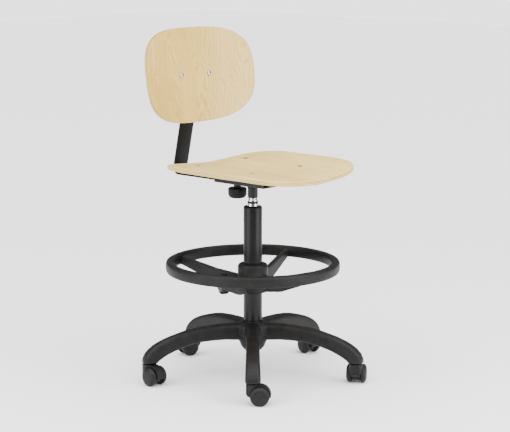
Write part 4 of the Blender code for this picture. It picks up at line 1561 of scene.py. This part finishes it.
@dataclass
class Lever:
    """The height lever: a pressed finger over the valve button, a round arm and a moulded grip."""

    arm_radius: float = 4 * MM

    def build(self) -> None:
        """Models the lever."""
        pivot = centre_of("lever_pin")
        move = Matrix.Translation(pivot)
        finger = block((-33 * MM, -6 * MM, -5 * MM), (12 * MM, 6 * MM, 1 * MM), 0.7 * MM)
        boss = rod(5 * MM, Vector((0, -6 * MM, 0)), Vector((0, 6 * MM, 0)), 48)
        arm = rod(self.arm_radius, Vector((4 * MM, 0, 0)), Vector((172 * MM, 0, -2 * MM)), 48, 0.5 * MM)
        eye = rod(2.8 * MM, Vector((0, -20 * MM, 0)), Vector((0, 20 * MM, 0)), 32)
        lever = carved(finger, [boss, arm], [eye])
        dress(placed(lever, move), "height_lever_rod", COAT, "lever", ["release_lever"])
        grip = turned([(0, 36 * MM), (4.3 * MM, 36 * MM), (4.3 * MM, 0), (6 * MM, 0), (7.5 * MM, 6 * MM),
                       (8.1 * MM, 20 * MM), (8.2 * MM, 40 * MM), (7.6 * MM, 46 * MM), (6 * MM, 50.4 * MM),
                       (3 * MM, 51.8 * MM), (0, 52 * MM)], steps=64)
        lay = Matrix.Translation((140 * MM, 0, -1.6 * MM)) @ Matrix.Rotation(math.radians(90.7), 4, "Y")
        dress(placed(grip, move @ lay), "height_lever_grip", KNOB, "lever", ["lever_grip"])


@dataclass
class KeptPieces:
    """Small pieces inside the stool that stay as they are packed, with a finish of their own."""

    castors: int = 5

    def finishes(self) -> dict[str, object]:
        """The finish of each kept node.

        Returns:
            The finish by node name.
        """
        chosen = {"piston_rod": CHROME, "column_floor": COAT, "thrust_bearing": ZINC, "rod_clip": ZINC,
                  "release_button": ZINC, "lever_pin": ZINC, "depth_screw": ZINC, "ring_screw": ZINC}
        for number in range(1, self.castors + 1):
            chosen[f"castor_{number}_axle"] = ZINC
        return chosen

    def dress(self, nodes: dict[str, bpy.types.Object]) -> None:
        """Gives each kept node its material.

        Args:
            nodes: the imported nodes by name.
        """
        for name, finish in self.finishes().items():
            mesh = nodes[name].data
            mesh.materials.clear()
            mesh.materials.append(material_of(finish))


# ---- studio ---------------------------------------------------------------------------------
@dataclass
class Studio:
    """A pale floor, broad soft lights and the camera."""

    azimuth: float = -47.0
    distance: float = 4.6
    rise: float = 1.25
    tilt: float = 10.03
    lens: float = 123.88

    def floor(self) -> None:
        """Lays the paper."""
        bm = bmesh.new()
        bmesh.ops.create_grid(bm, x_segments=1, y_segments=1, size=12.0)
        mesh = bpy.data.meshes.new("studio_floor")
        bm.to_mesh(mesh)
        bm.free()
        mesh.materials.append(material_of(PAPER))
        low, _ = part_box("castor_1_wheel_left")
        obj = bpy.data.objects.new("studio_floor", mesh)
        obj.location = (0, 0, round(low.z, 4) - 0.0002)
        bpy.context.scene.collection.objects.link(obj)

    def softbox(self, name: str, azimuth: float, far: float, height: float, size: tuple[float, float],
                watts: float, target: Vector) -> None:
        """Hangs a rectangular light that faces a target.

        Args:
            name: its name.
            azimuth: where it hangs, from the column.
            far: how far out.
            height: how high.
            size: width and height.
            watts: its power.
            target: what it faces.
        """
        data = bpy.data.lights.new(name, "AREA")
        data.shape = "RECTANGLE"
        data.size, data.size_y = size
        data.energy = watts
        lamp = bpy.data.objects.new(name, data)
        lamp.location = column_axis() + direction(azimuth) * far + Vector((0, 0, height))
        lamp.rotation_euler = (target - lamp.location).to_track_quat("-Z", "Y").to_euler()
        bpy.context.scene.collection.objects.link(lamp)

    def sky(self) -> None:
        """A very soft light from overhead that lies evenly on the whole floor."""
        data = bpy.data.lights.new("overhead_light", "SUN")
        data.energy = 8.0
        data.angle = math.radians(100.0)
        lamp = bpy.data.objects.new("overhead_light", data)
        lamp.rotation_euler = (math.radians(12.0), math.radians(-10.0), 0.0)
        bpy.context.scene.collection.objects.link(lamp)

    def world(self) -> None:
        """White to the eye, dimmer as a light."""
        world = bpy.data.worlds.new("studio_world")
        bpy.context.scene.world = world
        world.use_nodes = True
        tree = world.node_tree
        seen = add_node(tree, "LightPath", {}, "Is Camera Ray")
        strength = add_node(tree, "MapRange", fitted(seen, 0.0, 1.0, 0.30, 2.6))
        shader = tree.nodes["Background"]
        shader.inputs["Color"].default_value = (1.0, 1.0, 1.0, 1.0)
        tree.links.new(strength, shader.inputs["Strength"])

    def camera(self) -> None:
        """Stands the camera and makes it the scene's."""
        data = bpy.data.cameras.new("studio_camera")
        data.lens, data.sensor_width = self.lens, 36.0
        eye = bpy.data.objects.new("studio_camera", data)
        eye.location = column_axis() + direction(self.azimuth) * self.distance + Vector((0, 0, self.rise))
        pan = math.radians(self.azimuth) - math.atan2(2.2, 1755.0)
        eye.rotation_euler = (math.radians(90.0 - self.tilt), 0.0, pan)
        bpy.context.scene.collection.objects.link(eye)
        bpy.context.scene.camera = eye

    def build(self) -> None:
        """Sets up the studio."""
        aim = column_axis() + Vector((0, 0, 0.45))
        self.floor()
        self.world()
        self.softbox("left_softbox", self.azimuth - 58.0, 2.4, 1.0, (2.0, 2.2), 60.0, aim)
        self.softbox("right_softbox", self.azimuth + 62.0, 2.3, 1.0, (1.7, 2.2), 66.0, aim)
        self.sky()
        self.camera()


def build_stool() -> None:
    """Models and dresses every sub-assembly."""
    axis = column_axis()
    StarBase().build()
    housing = Castor(1).housing()
    for number in range(1, 6):
        Castor(number).build(housing.copy())
    housing.free()
    Column().build()
    FootRing().build()
    Seat(axis, PlyShell(216.2 * MM, 196.6 * MM, 4.1, 12 * MM)).build()
    Back(axis, PlyShell(201.7 * MM, 128.5 * MM, 2.95, 11 * MM, 2.4 * MM)).build()
    DepthKnob().build()
    Lever().build()


def main() -> None:
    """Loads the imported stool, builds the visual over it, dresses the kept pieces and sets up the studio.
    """
    logging.basicConfig(level=logging.INFO)
    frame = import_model()
    build_stool()
    KeptPieces().dress(frame["nodes"])
    Studio().build()


if __name__ == "__main__":
    main()
